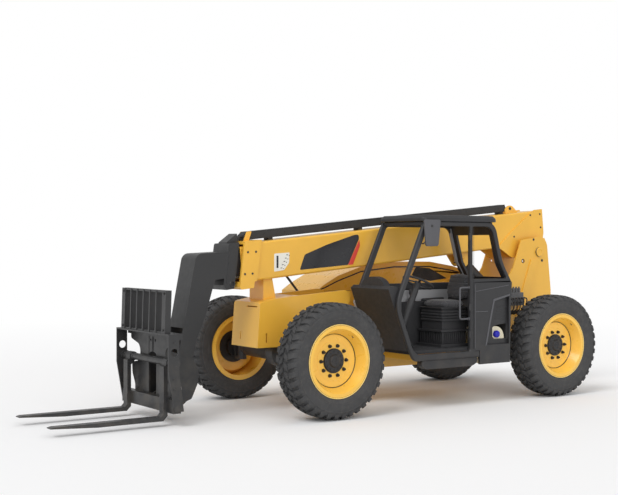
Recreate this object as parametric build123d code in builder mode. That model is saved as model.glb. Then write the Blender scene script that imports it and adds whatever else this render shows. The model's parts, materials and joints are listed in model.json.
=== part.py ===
"""Telehandler with a side cab, a two-stage telescopic boom and pallet forks.

Millimetres. X runs across the machine (cab side positive), the forks point to -Y
and Z is up. The origin is on the ground under the middle of the machine.
Side profiles are given as stations: distances behind the front axle.
"""
from build123d import *
import os
from math import cos, hypot, radians, sin, tan

os.makedirs("parts", exist_ok=True)

# Clearances
seat_gap = 0.3
pin_clearance = 0.05
side_play = 6.0

# Running gear
front_axle_y = -605.0
wheelbase = 3430.0
wheel_offset = 1037.0
tyre_radius = 633.0
tyre_width = 365.0
tread_depth = 30.0
lug_pairs = 20
lug_half = 34.0
lug_twist = 24.0
lug_inner = 6.0
lug_outer = 176.0
flange_radius = 400.0
flange_height = 44.0
rim_width = 313.0
rim_wall = 10.0
disc_radius = 290.0
disc_offset = 37.0
disc_thickness = 12.0
hub_radius = 134.5
hub_face = 46.0
hub_back = 70.0
spindle_radius = 60.0
kingpin_inset = 190.0
kingpin_radius = 25.0
kingpin_boss_radius = 55.0
kingpin_boss_height = 200.0
knuckle_ear = 40.0
axle_beam_radius = 85.0
axle_housing_radius = 150.0

# Main frame
frame_half_width = 285.0
frame_plate = 20.0
frame_bottom = 413.0
nose_station = -478.0
nose_top_station = -440.0
nose_bottom = 733.0
tower_plate = 18.0
tower_rib = 14.0
tower_rear_station = 4180.0
belly_clearance = 530.0
belly_rise = 150.0
tyre_room = 223.0
body_back_station = 2574.0

# Boom
boom_pivot_station = 3950.0
boom_pivot_z = 1799.0
boom_slope = 5.6
pivot_pin_radius = 45.0
pivot_boss_radius = 85.0
boom_low = 114.0
outer_width = 400.0
outer_height = 435.0
tube_wall = 10.0
section_step = 35.0
outer_rear = 150.0
outer_front = -4300.0
collar_front = -4635.0
collar_lean = 115.0
collar_back = -4405.0
collar_side = 20.0
collar_below = 74.0
collar_above = 22.0
collar_tuck = 140.0
mid_rear = -150.0
fly_rear = -300.0
head_front = -4806.0
head_length = 239.0
head_lean = 105.0
head_depth = 134.0
head_half_width = 165.0
head_low = 57.0
head_high = 565.0
sheave_half_width = 90.0
sheave_high = 662.0
ear_plate = 15.0

# Lift cylinder
lift_base_station = 3750.0
lift_base_z = 913.0
lift_eye_u = -1150.0
lift_eye_v = -10.0
lift_barrel_radius = 95.0
lift_rod_radius = 50.0
lift_pin_radius = 35.0
lift_eye_half = 65.0
lift_eye_radius = 55.0
clevis_plate = 20.0

# Gooseneck, carriage and forks
neck_half_width = 165.0
neck_plate = 20.0
tilt_pivot_station = -1420.0
tilt_pivot_z = 343.0
tilt_pin_radius = 32.0
tilt_boss_radius = 60.0
tilt_base_station = -1145.0
tilt_base_z = 1560.0
crank_length = 200.0
crank_angle = -51.0
tilt_barrel_radius = 52.0
tilt_rod_radius = 28.0
carriage_half_width = 635.0
carriage_plate = 16.0
carriage_front = -1765.0
carriage_back = -1585.0
carriage_top = 966.0
carriage_low = 163.0
bar_front = -1632.0
bar_depth = 40.0
fork_width = 100.0
fork_thickness = 45.0
fork_spacing = 880.0
fork_tip_station = -2970.0
fork_back_station = -1700.0
fork_heel_z = 58.0
fork_top_z = 623.0
fork_shaft_z = 660.0
fork_shaft_station = -1667.0
fork_shaft_radius = 27.5

# Cab
cab_inner = 350.0
cab_outer = 1150.0
cab_post = 50.0
cab_floor_z = 640.0
cab_roof_z = 2160.0
roof_thickness = 76.0

# Side box behind the cab
side_box_inner = 620.0

# Engine pod
pod_inner = -360.0
pod_outer = -1120.0
pod_wall = 15.0
pod_floor_z = 640.0
hood_hinge_station = 3205.0
hood_hinge_z = 1512.0
hood_pin_radius = 12.0


def at(station):
    """Row Y of a distance behind the front axle."""
    return front_axle_y + station


def side(x):
    """Side-view plane at x: local x is Y, local y is Z."""
    return Plane(origin=(x, 0, 0), x_dir=(0, 1, 0), z_dir=(1, 0, 0))


def facing_front(y):
    """Front-view plane at row y: local x is X, local y is Z, extrudes forward."""
    return Plane(origin=(0, y, 0), x_dir=(1, 0, 0), z_dir=(0, -1, 0))


slope = radians(boom_slope)


def boom_point(u, v):
    """Row Y and Z of a point u behind and v above the boom pivot, along the boom."""
    y = at(boom_pivot_station) + u * cos(slope) - v * sin(slope)
    z = boom_pivot_z + u * sin(slope) + v * cos(slope)
    return (y, z)


def boom_side(x):
    """Side-view plane lying along the boom, through its pivot."""
    return Plane(
        origin=(x, at(boom_pivot_station), boom_pivot_z),
        x_dir=(0, cos(slope), sin(slope)),
        z_dir=(1, 0, 0),
    )


def boom_section(u):
    """Plane across the boom at u: local y is up, extrudes towards the forks."""
    y, z = boom_point(u, 0)
    return Plane(origin=(0, y, z), x_dir=(1, 0, 0), z_dir=(0, -cos(slope), -sin(slope)))


def outline(plane, points, rounded=None):
    """A flat face with straight sides; rounded holds the radius of some corners by their place in the list."""
    with BuildSketch(plane) as face:
        with BuildLine():
            if rounded:
                FilletPolyline(*points, radius=[rounded.get(i, 0) for i in range(len(points))], close=True)
            else:
                Polyline(*points, close=True)
        make_face()
    return face.sketch


def plate(plane, points, thickness, mode=Mode.ADD, rounded=None):
    """A flat plate of the given outline."""
    extrude(outline(plane, points, rounded), amount=thickness, mode=mode)


def profile(x0, x1, points, mode=Mode.ADD, rounded=None):
    """A side outline, given as stations and heights, carried from x0 to x1."""
    rows = [(at(s), z) for s, z in points]
    plate(side(x0), rows, x1 - x0, mode, rounded)


def disc(plane, centre, radius, length, mode=Mode.ADD):
    """A round bar or hole that starts on the plane."""
    with BuildSketch(plane) as face:
        with Locations(centre):
            Circle(radius)
    extrude(face.sketch, amount=length, mode=mode)


def bar(x0, x1, station, z, radius, mode=Mode.ADD):
    """A round bar or hole across the machine."""
    disc(side(x0), (at(station), z), radius, x1 - x0, mode)


def block(x0, x1, s0, s1, z0, z1, mode=Mode.ADD):
    """A square block between two corners."""
    with Locations(((x0 + x1) / 2, at((s0 + s1) / 2), (z0 + z1) / 2)):
        Box(abs(x1 - x0), abs(s1 - s0), abs(z1 - z0), mode=mode)


def boom_tube(width, height, low, rear, length, wall):
    """A rectangular tube along the boom, open at both ends."""
    with BuildSketch(boom_section(rear)) as ring:
        with Locations((0, low + height / 2)):
            RectangleRounded(width, height, 2.5 * wall)
            RectangleRounded(width - 2 * wall, height - 2 * wall, 1.5 * wall, mode=Mode.SUBTRACT)
    extrude(ring.sketch, amount=length)


# Main frame: two side plates, a belly plate, a nose box and the boom rest

inner = frame_half_width - frame_plate
belly_back = wheelbase - belly_clearance
# The cab and the engine pod keep their place ahead of the rear tyres
body_move = wheelbase - tyre_radius - tyre_room - body_back_station
side_profile = [
    (nose_station, nose_bottom), (nose_top_station, 1243), (-250, 1278), (90, 1309),
    (730, 1358), (820, 1330), (820, 1240), (700, 1100), (1100, 860), (2900, 860),
    (3000, 1150), (tower_rear_station - 30, 1150), (tower_rear_station - 30, nose_bottom),
    (belly_back + belly_rise, nose_bottom), (belly_back, frame_bottom), (560, frame_bottom), (300, nose_bottom),
]
rest_u = -4215.0
rest_half = 150.0
rest_top = boom_low - seat_gap
with BuildPart() as frame:
    for x in (-frame_half_width, inner):
        profile(x, x + frame_plate, side_profile, rounded={1: 45, 7: 60, 8: 90})
        block(x - 1, x + frame_plate + 1, -368, -350, 790, 895, Mode.SUBTRACT)
    block(-inner, inner, 560, belly_back, frame_bottom, frame_bottom + 12)
    profile(-inner, inner, [(nose_station, nose_bottom), (nose_top_station, 1243),
                            (nose_top_station + frame_plate + 2, 1243), (nose_station + frame_plate, nose_bottom)])
    profile(-inner, inner, [(nose_top_station, 1225), (nose_top_station, 1243), (-250, 1278), (90, 1309),
                            (90, 1289), (-250, 1258)])
    # Slots in the nose plate
    block(-108, -92, nose_station - 5, -400, 808, 900, Mode.SUBTRACT)
    block(0, 225, nose_top_station - 15, -408, 1186, 1198, Mode.SUBTRACT)
    for s0, s1 in ((nose_station + 5, -axle_housing_radius - 20), (axle_housing_radius + 20, 300)):
        block(-inner, inner, s0, s1, nose_bottom, nose_bottom + 15)
    block(-inner, inner, belly_back, belly_back + 20, frame_bottom + 200, 860)
    block(-inner, inner, 3960, tower_rear_station - 30, 760, 1150)
    for x0, x1 in ((frame_half_width, 1000), (-1000, -frame_half_width)):
        for s in (1150 + body_move, 1900 + body_move):
            block(x0, x1, s, s + 100, pod_floor_z - 80, pod_floor_z)
    block(frame_half_width, side_box_inner, 2280 + body_move, 2380 + body_move, 540, 620)
    plate(side(-rest_half), [boom_point(rest_u - 60, rest_top), boom_point(rest_u + 60, rest_top),
                             (at(-150), 1285), (at(-316), 1262)], 2 * rest_half)

tower_out = frame_half_width + tower_plate
tower_profile = [
    (3623, 1958), (3940, 2000), (4060, 1985), (4110, 1900), (tower_rear_station, 1286),
    (tower_rear_station, 760), (3060, 760), (3060, 1000), (3250, 1300), (3476, 1590),
]
with BuildPart() as boom_tower:
    for x in (-tower_out, frame_half_width):
        profile(x, x + tower_plate, tower_profile, rounded={1: 60, 3: 120, 8: 150})
        bar(x, x + tower_plate, boom_pivot_station, boom_pivot_z, pivot_pin_radius + seat_gap, Mode.SUBTRACT)
        bar(x, x + tower_plate, 3655, 1680, 16, Mode.SUBTRACT)
    for x in (-tower_out - tower_rib, tower_out):
        profile(x, x + tower_rib, [(3797, 1700), (3925, 1700), (3778, 1319), (3640, 900), (3500, 900), (3647, 1321)])

with BuildPart() as pivot_pins:
    bar(-tower_out, tower_out, boom_pivot_station, boom_pivot_z, pivot_pin_radius)
    for x in (-tower_out - 22 - seat_gap, tower_out + seat_gap):
        bar(x, x + 22, boom_pivot_station, boom_pivot_z, pivot_pin_radius + 18)
    bar(-tower_out - seat_gap, tower_out + seat_gap, boom_pivot_station, boom_pivot_z, pivot_pin_radius)
    bar(-inner + seat_gap, inner - seat_gap, lift_base_station, lift_base_z, lift_pin_radius)


# Axles with kingpins, steering knuckles and wheels

kingpin_x = wheel_offset - kingpin_inset


def build_axle(station):
    """A drive axle with its housing, kingpin bosses and kingpins."""
    pin_half = kingpin_boss_height / 2 + knuckle_ear + 2 * seat_gap
    with BuildPart() as axle:
        with BuildSketch(Plane.XY.offset(tyre_radius)) as half:
            with BuildLine():
                Polyline((0, 0), (0, axle_housing_radius), (70, axle_housing_radius),
                         (160, axle_beam_radius + 10), (kingpin_x - 150, axle_beam_radius),
                         (kingpin_x - 60, 50), (kingpin_x, 50), (kingpin_x, 0), close=True)
            make_face()
            mirror(about=Plane.YZ)
        revolve(half.sketch, axis=Axis((0, 0, tyre_radius), (1, 0, 0)))
        for x in (-kingpin_x, kingpin_x):
            disc(Plane.XY.offset(tyre_radius - kingpin_boss_height / 2), (x, 0), kingpin_boss_radius,
                 kingpin_boss_height)
            disc(Plane.XY.offset(tyre_radius - pin_half), (x, 0), kingpin_radius, 2 * pin_half)
        for x in (-inner - 10, inner + 10):
            with Locations((x, 0, (tyre_radius + nose_bottom) / 2)):
                Box(70, 140, nose_bottom - tyre_radius)
    return axle.part.moved(Location((0, at(station), 0)))


def build_knuckle(sign):
    """A steering knuckle: two ears on the kingpin, a web and the wheel spindle."""
    ear_low = kingpin_boss_height / 2 + seat_gap
    ear_high = ear_low + knuckle_ear
    web_in = kingpin_x + kingpin_boss_radius + side_play
    web_out = web_in + 34
    with BuildPart() as knuckle:
        for z in (ear_low, -ear_high):
            with BuildSketch(Plane.XY.offset(z)) as ear:
                with Locations((kingpin_x, 0)):
                    Circle(kingpin_boss_radius)
                with Locations(((kingpin_x + web_out) / 2, 0)):
                    Rectangle(web_out - kingpin_x, 2 * kingpin_boss_radius)
                with Locations((kingpin_x, 0)):
                    Circle(kingpin_radius + pin_clearance, mode=Mode.SUBTRACT)
            extrude(ear.sketch, amount=knuckle_ear)
        with Locations(((web_in + web_out) / 2, 0, 0)):
            Box(web_out - web_in, 2 * kingpin_boss_radius, 2 * ear_high)
        disc(Plane.YZ.offset(web_out), (0, 0), spindle_radius, wheel_offset + 20 - web_out)
    part = knuckle.part
    if sign < 0:
        part = part.mirror(Plane.YZ)
    return part


half_rim = rim_width / 2
seat_radius = flange_radius - flange_height
flange_thick = 10.0


def build_rim():
    """The wheel's well, flanges, cone and disc as one turned piece."""
    with BuildPart() as rim:
        with BuildSketch(Plane.XY) as half:
            with BuildLine():
                Polyline(
                    (disc_offset, hub_radius + seat_gap), (disc_offset, disc_radius),
                    (half_rim - 8, seat_radius - rim_wall), (half_rim, seat_radius - rim_wall + 4),
                    (half_rim, flange_radius), (half_rim - flange_thick, flange_radius),
                    (half_rim - flange_thick, seat_radius), (flange_thick - half_rim, seat_radius),
                    (flange_thick - half_rim, flange_radius), (-half_rim, flange_radius),
                    (-half_rim, seat_radius - rim_wall), (half_rim - 40, seat_radius - rim_wall),
                    (disc_offset - disc_thickness, disc_radius + 8),
                    (disc_offset - disc_thickness, hub_radius + seat_gap), close=True)
            make_face()
        revolve(half.sketch, axis=Axis.X)
    return rim.part


def build_hub():
    """The final-drive hub with the flange that the wheel disc bolts to."""
    back = disc_offset - disc_thickness
    with BuildPart() as hub:
        disc(Plane.YZ.offset(-hub_back), (0, 0), hub_radius - 15, hub_back + back)
        disc(Plane.YZ.offset(back - 18), (0, 0), hub_radius + 60, 18)
        disc(Plane.YZ.offset(back), (0, 0), hub_radius, hub_face - back)
        disc(Plane.YZ.offset(-hub_back), (0, 0), spindle_radius + pin_clearance, hub_back + 21, Mode.SUBTRACT)
    return hub.part


def build_tyre():
    """The tyre casing with two rows of slanted tread lugs, cut to the tread's outer form."""
    bead = half_rim - flange_thick - seat_gap
    wall = tyre_width / 2
    casing = tyre_radius - tread_depth
    root = casing - 2 * tread_depth
    lean = (lug_outer - lug_inner) * tan(radians(lug_twist))
    with BuildPart() as lugs:
        for i in range(lug_pairs):
            for row in (1, -1):
                turn = radians((i + (0.5 if row < 0 else 0.0)) * 360 / lug_pairs)
                foot = Plane(origin=(0, 0, 0), x_dir=(1, 0, 0), z_dir=(0, sin(turn), -cos(turn))).offset(root)
                plate(foot, [(row * lug_inner, -lug_half), (row * lug_outer, lean - lug_half),
                             (row * lug_outer, lean + lug_half), (row * lug_inner, lug_half)],
                      tyre_radius + tread_depth - root)
        with BuildSketch(Plane.XY) as tread:
            with BuildLine():
                Polyline((-wall, root - tread_depth), (wall, root - tread_depth), (wall, 550), (wall - 8, 605),
                         (wall - 28, tyre_radius), (28 - wall, tyre_radius), (8 - wall, 605), (-wall, 550), close=True)
            make_face()
        revolve(tread.sketch, axis=Axis.X, mode=Mode.INTERSECT)
    with BuildPart() as tyre:
        with BuildSketch(Plane.XY) as half:
            with BuildLine():
                Polyline(
                    (-bead, seat_radius + seat_gap), (bead, seat_radius + seat_gap),
                    (bead, flange_radius + seat_gap), (half_rim, flange_radius + 6), (wall, 470), (wall, 550),
                    (wall - 30, casing), (30 - wall, casing), (-wall, 550), (-wall, 470),
                    (-half_rim, flange_radius + 6), (-bead, flange_radius + seat_gap), close=True)
            make_face()
        revolve(half.sketch, axis=Axis.X)
        add(lugs.part)
    return tyre.part


axles = {"axle_front": 0.0, "axle_rear": wheelbase}
for name, station in axles.items():
    axle = build_axle(station)
    axle.label = name
    export_step(axle, f"parts/{name}.step")

rim_shape = build_rim()
hub_shape = build_hub()
tyre_shape = build_tyre()
corners = {"fl": (1, 0.0), "fr": (-1, 0.0), "rl": (1, wheelbase), "rr": (-1, wheelbase)}
for corner, (sign, station) in corners.items():
    knuckle = build_knuckle(sign).moved(Location((0, at(station), tyre_radius)))
    knuckle.label = f"knuckle_{corner}"
    export_step(knuckle, f"parts/knuckle_{corner}.step")
    for name, shape in (("rim", rim_shape), ("hub", hub_shape), ("tyre", tyre_shape)):
        piece = shape if sign > 0 else shape.mirror(Plane.YZ)
        piece = piece.moved(Location((sign * wheel_offset, at(station), tyre_radius)))
        piece.label = f"{name}_{corner}"
        export_step(piece, f"parts/{name}_{corner}.step")


# Outer boom: tube, front collar, rear ears with the pivot boss, and the lift clevis

collar_width = outer_width + 2 * collar_side
collar_low = boom_low - collar_below
collar_high = boom_low + outer_height + collar_above
boss_half = frame_half_width - side_play
clevis_in = lift_eye_half + side_play + 4
pad_gap = section_step - tube_wall
with BuildPart() as boom_outer:
    boom_tube(outer_width, outer_height, boom_low, outer_rear, outer_rear - outer_front + collar_tuck, tube_wall)
    with BuildSketch(boom_section(outer_rear)) as cap:
        with Locations((0, boom_low + outer_height / 2)):
            RectangleRounded(outer_width, outer_height, 25)
    extrude(cap.sketch, amount=12)
    plate(boom_side(-collar_width / 2), [
        (collar_front, collar_low), (collar_front + collar_lean, collar_high),
        (collar_back + collar_lean - 5, collar_high), (collar_back, boom_low), (collar_back - 28, boom_low - 4),
        (collar_back - 45, collar_low)], collar_width, rounded={0: 28, 5: 14})
    plate(boom_side(tube_wall - outer_width / 2), [
        (collar_front - 60, boom_low + tube_wall), (collar_front - 60, boom_low + outer_height - tube_wall),
        (outer_front + 60, boom_low + outer_height - tube_wall), (outer_front + 60, boom_low + tube_wall)],
        outer_width - 2 * tube_wall, Mode.SUBTRACT)
    # Front wear pads between the collar and the middle section
    mid_w = outer_width - 2 * section_step + 2 * seat_gap
    mid_h = outer_height - 2 * section_step + 2 * seat_gap
    with BuildSketch(boom_section(outer_front + 100)) as pads:
        with Locations((0, boom_low + outer_height / 2)):
            Rectangle(outer_width - tube_wall, outer_height - tube_wall)
            Rectangle(mid_w, mid_h, mode=Mode.SUBTRACT)
    extrude(pads.sketch, amount=80)
    for x in (-outer_width / 2 - ear_plate, outer_width / 2):
        plate(boom_side(x), [
            (-650, 130), (-434, -24), (-110, -92), (80, -92), (140, -30), (210, 250), (210, 565),
            (60, 565), (-60, 500), (-400, 300)], ear_plate)
    disc(boom_side(-boss_half), (0, 0), pivot_boss_radius, 2 * boss_half)
    disc(boom_side(-boss_half - 1), (0, 0), pivot_pin_radius + pin_clearance, 2 * boss_half + 2, Mode.SUBTRACT)
    for x in (-clevis_in - clevis_plate, clevis_in):
        plate(boom_side(x), [
            (lift_eye_u - 160, boom_low + 2), (lift_eye_u - 60, lift_eye_v - 30), (lift_eye_u - 25, lift_eye_v - 62),
            (lift_eye_u + 25, lift_eye_v - 62), (lift_eye_u + 60, lift_eye_v - 30), (lift_eye_u + 160, boom_low + 2),
        ], clevis_plate)
    for x in (-clevis_in - clevis_plate - 14, clevis_in + clevis_plate):
        disc(boom_side(x), (lift_eye_u, lift_eye_v), lift_pin_radius + 12, 14)

# Middle and inner boom sections with their wear pads
mid_width = outer_width - 2 * section_step
mid_height = outer_height - 2 * section_step
mid_low = boom_low + section_step
fly_width = mid_width - 2 * section_step
fly_height = mid_height - 2 * section_step
fly_low = mid_low + section_step
section_front = head_front + head_length
with BuildPart() as boom_mid:
    boom_tube(mid_width, mid_height, mid_low, mid_rear, mid_rear - section_front - 12, tube_wall)
    with BuildSketch(boom_section(mid_rear)) as rear_pads:
        with Locations((0, mid_low + mid_height / 2)):
            RectangleRounded(outer_width - 2 * tube_wall - 2 * seat_gap, outer_height - 2 * tube_wall - 2 * seat_gap,
                             1.5 * tube_wall)
            Rectangle(mid_width - tube_wall, mid_height - tube_wall, mode=Mode.SUBTRACT)
    extrude(rear_pads.sketch, amount=90)
    with BuildSketch(boom_section(section_front + 112)) as front_pads:
        with Locations((0, mid_low + mid_height / 2)):
            Rectangle(mid_width - tube_wall, mid_height - tube_wall)
            Rectangle(fly_width + 2 * seat_gap, fly_height + 2 * seat_gap, mode=Mode.SUBTRACT)
    extrude(front_pads.sketch, amount=80)

with BuildPart() as boom_fly:
    boom_tube(fly_width, fly_height, fly_low, fly_rear, fly_rear - head_front - head_lean - 25, tube_wall)
    with BuildSketch(boom_section(fly_rear)) as fly_pads:
        with Locations((0, fly_low + fly_height / 2)):
            RectangleRounded(mid_width - 2 * tube_wall - 2 * seat_gap, mid_height - 2 * tube_wall - 2 * seat_gap,
                             1.5 * tube_wall)
            Rectangle(fly_width - tube_wall, fly_height - tube_wall, mode=Mode.SUBTRACT)
    extrude(fly_pads.sketch, amount=90)
    plate(boom_side(-head_half_width), [
        (head_front + head_depth, head_low), (head_front + 26, head_low - 4), (head_front, head_low + 53),
        (head_front + head_lean, head_high - 20), (head_front + head_lean + 12, head_high),
        (head_front + head_lean + head_depth + 10, head_high)], 2 * head_half_width, rounded={1: 20})
    # Sheave housing for the hoses on top of the head
    plate(boom_side(-sheave_half_width), [
        (head_front + head_lean + 12, head_high - 15), (head_front + head_lean + 26, head_high + 15),
        (collar_front + collar_lean - 15, sheave_high), (collar_front + collar_lean - 15, head_high + 12),
        (head_front + head_lean + head_depth, head_high - 15)], 2 * sheave_half_width)
    with BuildSketch(boom_section(head_front + head_lean + head_depth + 30)) as bore:
        with Locations((0, fly_low + fly_height / 2)):
            Rectangle(fly_width - 2 * tube_wall, fly_height - 2 * tube_wall)
    extrude(bore.sketch, amount=head_depth, mode=Mode.SUBTRACT)
    for x in (-head_half_width - 1, head_half_width - 11):
        disc(boom_side(x), (head_front + 114, head_low + 52), 22, 12, Mode.SUBTRACT)

# Gooseneck: two plates with a cover, holding the tilt cylinder between them
tilt_pivot = (tilt_pivot_station, tilt_pivot_z)
tilt_base = (tilt_base_station, tilt_base_z)
crank_pin = (
    tilt_pivot_station + crank_length * cos(radians(crank_angle)),
    tilt_pivot_z + crank_length * sin(radians(crank_angle)),
)


def head_face(v):
    """Station and height of the head's leaning front face at v."""
    u = head_front + (v - head_low - 53) * head_lean / (head_high - head_low - 73)
    y, z = boom_point(u, v)
    return (y - front_axle_y, z)


neck_top_v = 475.0
neck_skin = 14.0
neck_profile = [
    head_face(fly_low), head_face(neck_top_v), (-1185, 1792), (-1297, 1214), (-1345, 960), (-1480, 343),
    (-1455, 296), (-1420, 283), (-1385, 296), (-1345, 330), (-1255, 500), (-1180, 860), (-1064, 1129), (-954, 1500),
]
with BuildPart() as gooseneck:
    for x in (-neck_half_width, neck_half_width - neck_plate):
        profile(x, x + neck_plate, neck_profile, rounded={2: 95, 4: 200, 11: 200, 13: 30})
        bar(x, x + neck_plate, *tilt_pivot, tilt_pin_radius + seat_gap, Mode.SUBTRACT)
    cover = neck_half_width - neck_plate
    profile(-cover, cover, [
        head_face(neck_top_v), (-1185, 1792), (-1297, 1214), (-1340, 985), (-1340 + neck_skin, 985),
        (-1297 + neck_skin, 1216), (-1185 + neck_skin, 1792 - neck_skin), head_face(neck_top_v - neck_skin)],
        rounded={1: 95, 6: 95 - neck_skin})
    bar(-cover, cover, *tilt_base, tilt_pin_radius)

with BuildPart() as tilt_pin:
    bar(-neck_half_width - 45, neck_half_width + 45, *tilt_pivot, tilt_pin_radius)

# Fork carriage with its backrest, shaft and forks
ear_in = neck_half_width + side_play
ear_out = ear_in + 25
crank_in = 30.0
crank_out = 55.0
bar_back = bar_front + bar_depth
with BuildPart() as carriage:
    for x in (-carriage_half_width, carriage_half_width - carriage_plate):
        profile(x, x + carriage_plate, [
            (carriage_back, carriage_low), (carriage_back - 55, 560), (carriage_back - 55, carriage_top),
            (carriage_front, carriage_top), (carriage_front, 590), (carriage_front + 75, carriage_low)],
            rounded={1: 80, 4: 120})
        bar(x, x + carriage_plate, -1695, 775, 42, Mode.SUBTRACT)
    wide = carriage_half_width - carriage_plate
    block(-wide, wide, carriage_front, bar_back, carriage_top - 16, carriage_top)
    block(-wide, wide, bar_front, bar_back, 900, carriage_top - 16)
    block(-wide, wide, fork_back_station, bar_front + 20, 143, 283)
    # Upright plates with curved edges between the top rail and the lower bar
    for turn in (-1, 1):
        with BuildSketch(facing_front(at(bar_front + 20))) as upright:
            with BuildLine():
                FilletPolyline((turn * 90, 270), (turn * 90, 910), (turn * 535, 910), (turn * 535, 850),
                               (turn * 300, 790), (turn * 300, 620), (turn * 510, 585), (turn * 500, 470),
                               (turn * 430, 350), (turn * 430, 270),
                               radius=[0, 0, 0, 30, 90, 60, 30, 60, 40, 0], close=True)
            make_face()
        extrude(upright.sketch, amount=20)
    for x in (-ear_out, ear_in):
        profile(x, x + 25, [(bar_front + 10, 200), (bar_front + 10, 760), (-1540, 760), (-1230, 640), (-1172, 520),
                            (-1185, 380), (-1260, 219), (-1330, 195)], rounded={2: 60, 3: 80, 4: 60, 5: 80, 6: 30})
        bar(x, x + 25, *tilt_pivot, tilt_pin_radius + pin_clearance, Mode.SUBTRACT)
    for x in (-crank_out, crank_in):
        profile(x, x + crank_out - crank_in, [
            (bar_front + 15, 160), (bar_front + 15, 280), (-1470, 343), (-1430, 400), (-1385, 390), (-1255, 225),
            (-1245, 175), (-1290, 140), (-1340, 155)])
        bar(x, x + crank_out - crank_in, *tilt_pivot, tilt_pin_radius + pin_clearance, Mode.SUBTRACT)
    for x in (-wide, wide - 40):
        bar(x, x + 40, fork_shaft_station, fork_shaft_z, fork_shaft_radius + 22)
    for x in (-carriage_half_width, carriage_half_width - carriage_plate - 40):
        bar(x, x + carriage_plate + 40, fork_shaft_station, fork_shaft_z, fork_shaft_radius + seat_gap, Mode.SUBTRACT)

rest_half_width = 530.0
rest_depth = 68.0
rest_plate = 20.0
rest_post = 80.0
rest_bars = 5
rest_top_z = 1413.0
rest_front = carriage_front + 10
rest_lean = 14.0
rest_gap = (2 * (rest_half_width - rest_post) - rest_bars * rest_plate) / (rest_bars + 1)
with BuildPart() as backrest:
    lean = [(rest_front, carriage_top), (rest_front + rest_depth, carriage_top),
            (rest_front + rest_depth + rest_lean, rest_top_z), (rest_front + rest_lean, rest_top_z)]
    for x in (-rest_half_width, rest_half_width - rest_post):
        profile(x, x + rest_post, lean)
    for i in range(rest_bars):
        x = -rest_half_width + rest_post + rest_gap + i * (rest_plate + rest_gap)
        profile(x, x + rest_plate, lean)
    block(-rest_half_width, rest_half_width, rest_front + 8, rest_front + rest_depth - 8, carriage_top, carriage_top + 16)
    block(-rest_half_width, rest_half_width, rest_front + rest_lean + 6, rest_front + rest_lean + rest_depth - 6,
          rest_top_z - 22, rest_top_z)

with BuildPart() as fork_shaft:
    bar(-carriage_half_width, carriage_half_width, fork_shaft_station, fork_shaft_z, fork_shaft_radius)

eye_radius = fork_shaft_radius + 22
with BuildPart() as forks:
    for centre in (-fork_spacing / 2, fork_spacing / 2):
        x0 = centre - fork_width / 2
        profile(x0, x0 + fork_width, [
            (fork_back_station, fork_top_z + 20), (fork_back_station - fork_thickness, fork_top_z),
            (fork_back_station - fork_thickness, fork_heel_z + fork_thickness + 30),
            (fork_back_station - fork_thickness - 30, fork_heel_z + fork_thickness),
            (fork_tip_station + 40, fork_heel_z + fork_thickness),
            (fork_tip_station, fork_heel_z + fork_thickness - 8), (fork_tip_station, fork_heel_z + 28),
            (fork_tip_station + 500, fork_heel_z), (fork_back_station - 50, fork_heel_z),
            (fork_back_station, fork_heel_z + 50)])
        bar(x0, x0 + fork_width, fork_shaft_station, fork_shaft_z, eye_radius)
        profile(x0, x0 + fork_width, [
            (fork_back_station - fork_thickness, 560), (fork_back_station - 5, 560),
            (fork_shaft_station + 20, fork_shaft_z - 40), (fork_shaft_station - 30, fork_shaft_z + 38)])
        bar(x0, x0 + fork_width, fork_shaft_station, fork_shaft_z, fork_shaft_radius + seat_gap, Mode.SUBTRACT)


def cylinder_plane(start, end):
    """A plane at start whose normal points along the cylinder to end."""
    y0, z0 = at(start[0]), start[1]
    y1, z1 = at(end[0]), end[1]
    length = hypot(y1 - y0, z1 - z0)
    return Plane(origin=(0, y0, z0), x_dir=(1, 0, 0), z_dir=(0, (y1 - y0) / length, (z1 - z0) / length))


# Lift cylinder, from the rear of the frame to the clevis under the boom
lift_base = (lift_base_station, lift_base_z)
lift_eye_row = boom_point(lift_eye_u, lift_eye_v)
lift_eye = (lift_eye_row[0] - front_axle_y, lift_eye_row[1])
lift_length = hypot(lift_eye[0] - lift_base[0], lift_eye[1] - lift_base[1])
lift_plane = cylinder_plane(lift_base, lift_eye)
lift_gland = lift_length - 80
with BuildPart() as lift_barrel:
    bar(-lift_barrel_radius, lift_barrel_radius, *lift_base, lift_pin_radius + 40)
    disc(lift_plane.offset(60), (0, 0), lift_barrel_radius, lift_gland - 60)
    disc(lift_plane.offset(110), (0, 0), lift_barrel_radius - 15, lift_gland - 110 - 60, Mode.SUBTRACT)
    disc(lift_plane.offset(lift_gland - 61), (0, 0), lift_rod_radius + pin_clearance, 70, Mode.SUBTRACT)
    bar(-lift_barrel_radius - 1, lift_barrel_radius + 1, *lift_base, lift_pin_radius + pin_clearance, Mode.SUBTRACT)

with BuildPart() as lift_rod:
    disc(lift_plane.offset(140), (0, 0), lift_rod_radius, lift_length - 140)
    disc(lift_plane.offset(140), (0, 0), lift_barrel_radius - 15 - pin_clearance, 70)
    bar(-lift_eye_half, lift_eye_half, *lift_eye, lift_eye_radius)
    bar(-lift_eye_half - 3, lift_eye_half + 3, *lift_eye, lift_pin_radius)

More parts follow.
